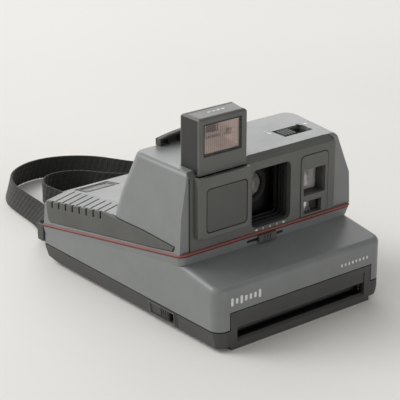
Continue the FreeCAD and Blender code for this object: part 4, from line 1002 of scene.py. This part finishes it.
def underside():
    """Four cross-head screws and two rubber strips, flush with the base."""
    face, crown, rim, sunk = 0.0002, 0.0024, 0.0029, 0.0008
    for x, depth in ((-44, 46), (44, 46), (-44, 142), (44, 142)):
        centre = at(x, depth, 0.2)
        name = f"base_screw_{'left' if x < 0 else 'right'}_{'front' if depth < 90 else 'back'}"
        turned(name, centre, [(0.0, -face), (crown, -face), (rim, 0.0), (rim, sunk), (0.0, sunk)],
               "z", "steel", segments=32)
        # The black cross on each screw head is painted shade in place of its sunk recess.
        for turn, (right, up) in enumerate(((X, Y), (Y, X))):
            slot = [centre + right * u + up * v - Z * face
                    for u, v in round_rect(half=(0.0016, 0.0003), corner=0.0002, steps=2)]
            plates(f"{name}_slot_{turn}", [slot], -Z * 0.00002, MATERIALS["inner_black"])
    for side, x in (("left", -30), ("right", 30)):
        frame_ring(f"base_pad_{side}", at(x, 94, 0.0), X, Y, half=(0.0050, 0.0340), wall=0.0048,
                   lift=-Z * 0.00005, corner=0.0030, material="grip_dark")


painted_gap_shadows()
reflector()
flash()
lift_spring()
taking_lens()
finder_glass()
viewfinder()
controls()
deck()
underside()


# ---------------------------------------------------------------- carried-over nodes

for node, item in frame["nodes"].items():
    if not item.hide_render:
        item.data.materials.clear()
        item.data.materials.append(finish_of(node))


# ---------------------------------------------------------------- floor and light

def floor():
    """A plain pale paper floor."""
    mesh = bmesh.new()
    bmesh.ops.create_grid(mesh, x_segments=2, y_segments=2, size=6)
    data = bpy.data.meshes.new("floor")
    mesh.to_mesh(data)
    mesh.free()
    item = bpy.data.objects.new("floor", data)
    bpy.context.scene.collection.objects.link(item)
    material, tree, shader = nodes_of("floor_paper")
    cloud = noise_of(tree, 2.2, 3)
    paper = ramp_of(tree, cloud, (0.80, 0.785, 0.76), (0.84, 0.825, 0.80))
    tree.links.new(paper, shader.inputs["Base Color"])
    shader.inputs["Roughness"].default_value = 0.9
    data.materials.append(material)


def lamp(name, place, aim, size, watts):
    """A soft round lamp, size across, at a place and turned to aim."""
    light = bpy.data.lights.new(name, "AREA")
    light.shape = "DISK"
    light.size = size
    light.energy = watts
    item = bpy.data.objects.new(name, light)
    item.location = place
    item.rotation_euler = (Vector(aim) - Vector(place)).to_track_quat("-Z", "Y").to_euler()
    bpy.context.scene.collection.objects.link(item)


WORLD_DARK, WORLD_BRIGHT = 0.24, 1.25
WORLD_BRIGHT_WAY = (-0.42, 0.90, 0.05)


def studio():
    """Pale floor, large soft lights from behind on both sides, a low fill, a world brighter behind."""
    floor()
    lamp("key", place=(-1.3, 1.3, 1.5), aim=(0, 0, 0.05), size=1.4, watts=24)
    lamp("sheen", place=(1.1, 1.4, 0.85), aim=(0, 0, 0.08), size=1.3, watts=6.5)
    lamp("fill", place=(0.3, -1.6, 0.3), aim=(0, 0, 0.03), size=1.0, watts=5.5)
    world = bpy.data.worlds.new("studio")
    bpy.context.scene.world = world
    world.use_nodes = True
    tree = world.node_tree
    way = tree.nodes.new("ShaderNodeTexCoord")
    facing = tree.nodes.new("ShaderNodeVectorMath")
    facing.operation = "DOT_PRODUCT"
    facing.inputs[1].default_value = Vector(WORLD_BRIGHT_WAY).normalized()
    tree.links.new(way.outputs["Generated"], facing.inputs[0])
    sky = tree.nodes["Background"]
    sky.inputs["Color"].default_value = (1, 0.99, 0.97, 1)
    strength = spread_of(tree, facing.outputs["Value"], WORLD_DARK, WORLD_BRIGHT, -0.4, 0.95)
    tree.links.new(strength, sky.inputs["Strength"])
    bpy.context.scene.view_settings.view_transform = "Standard"


studio()
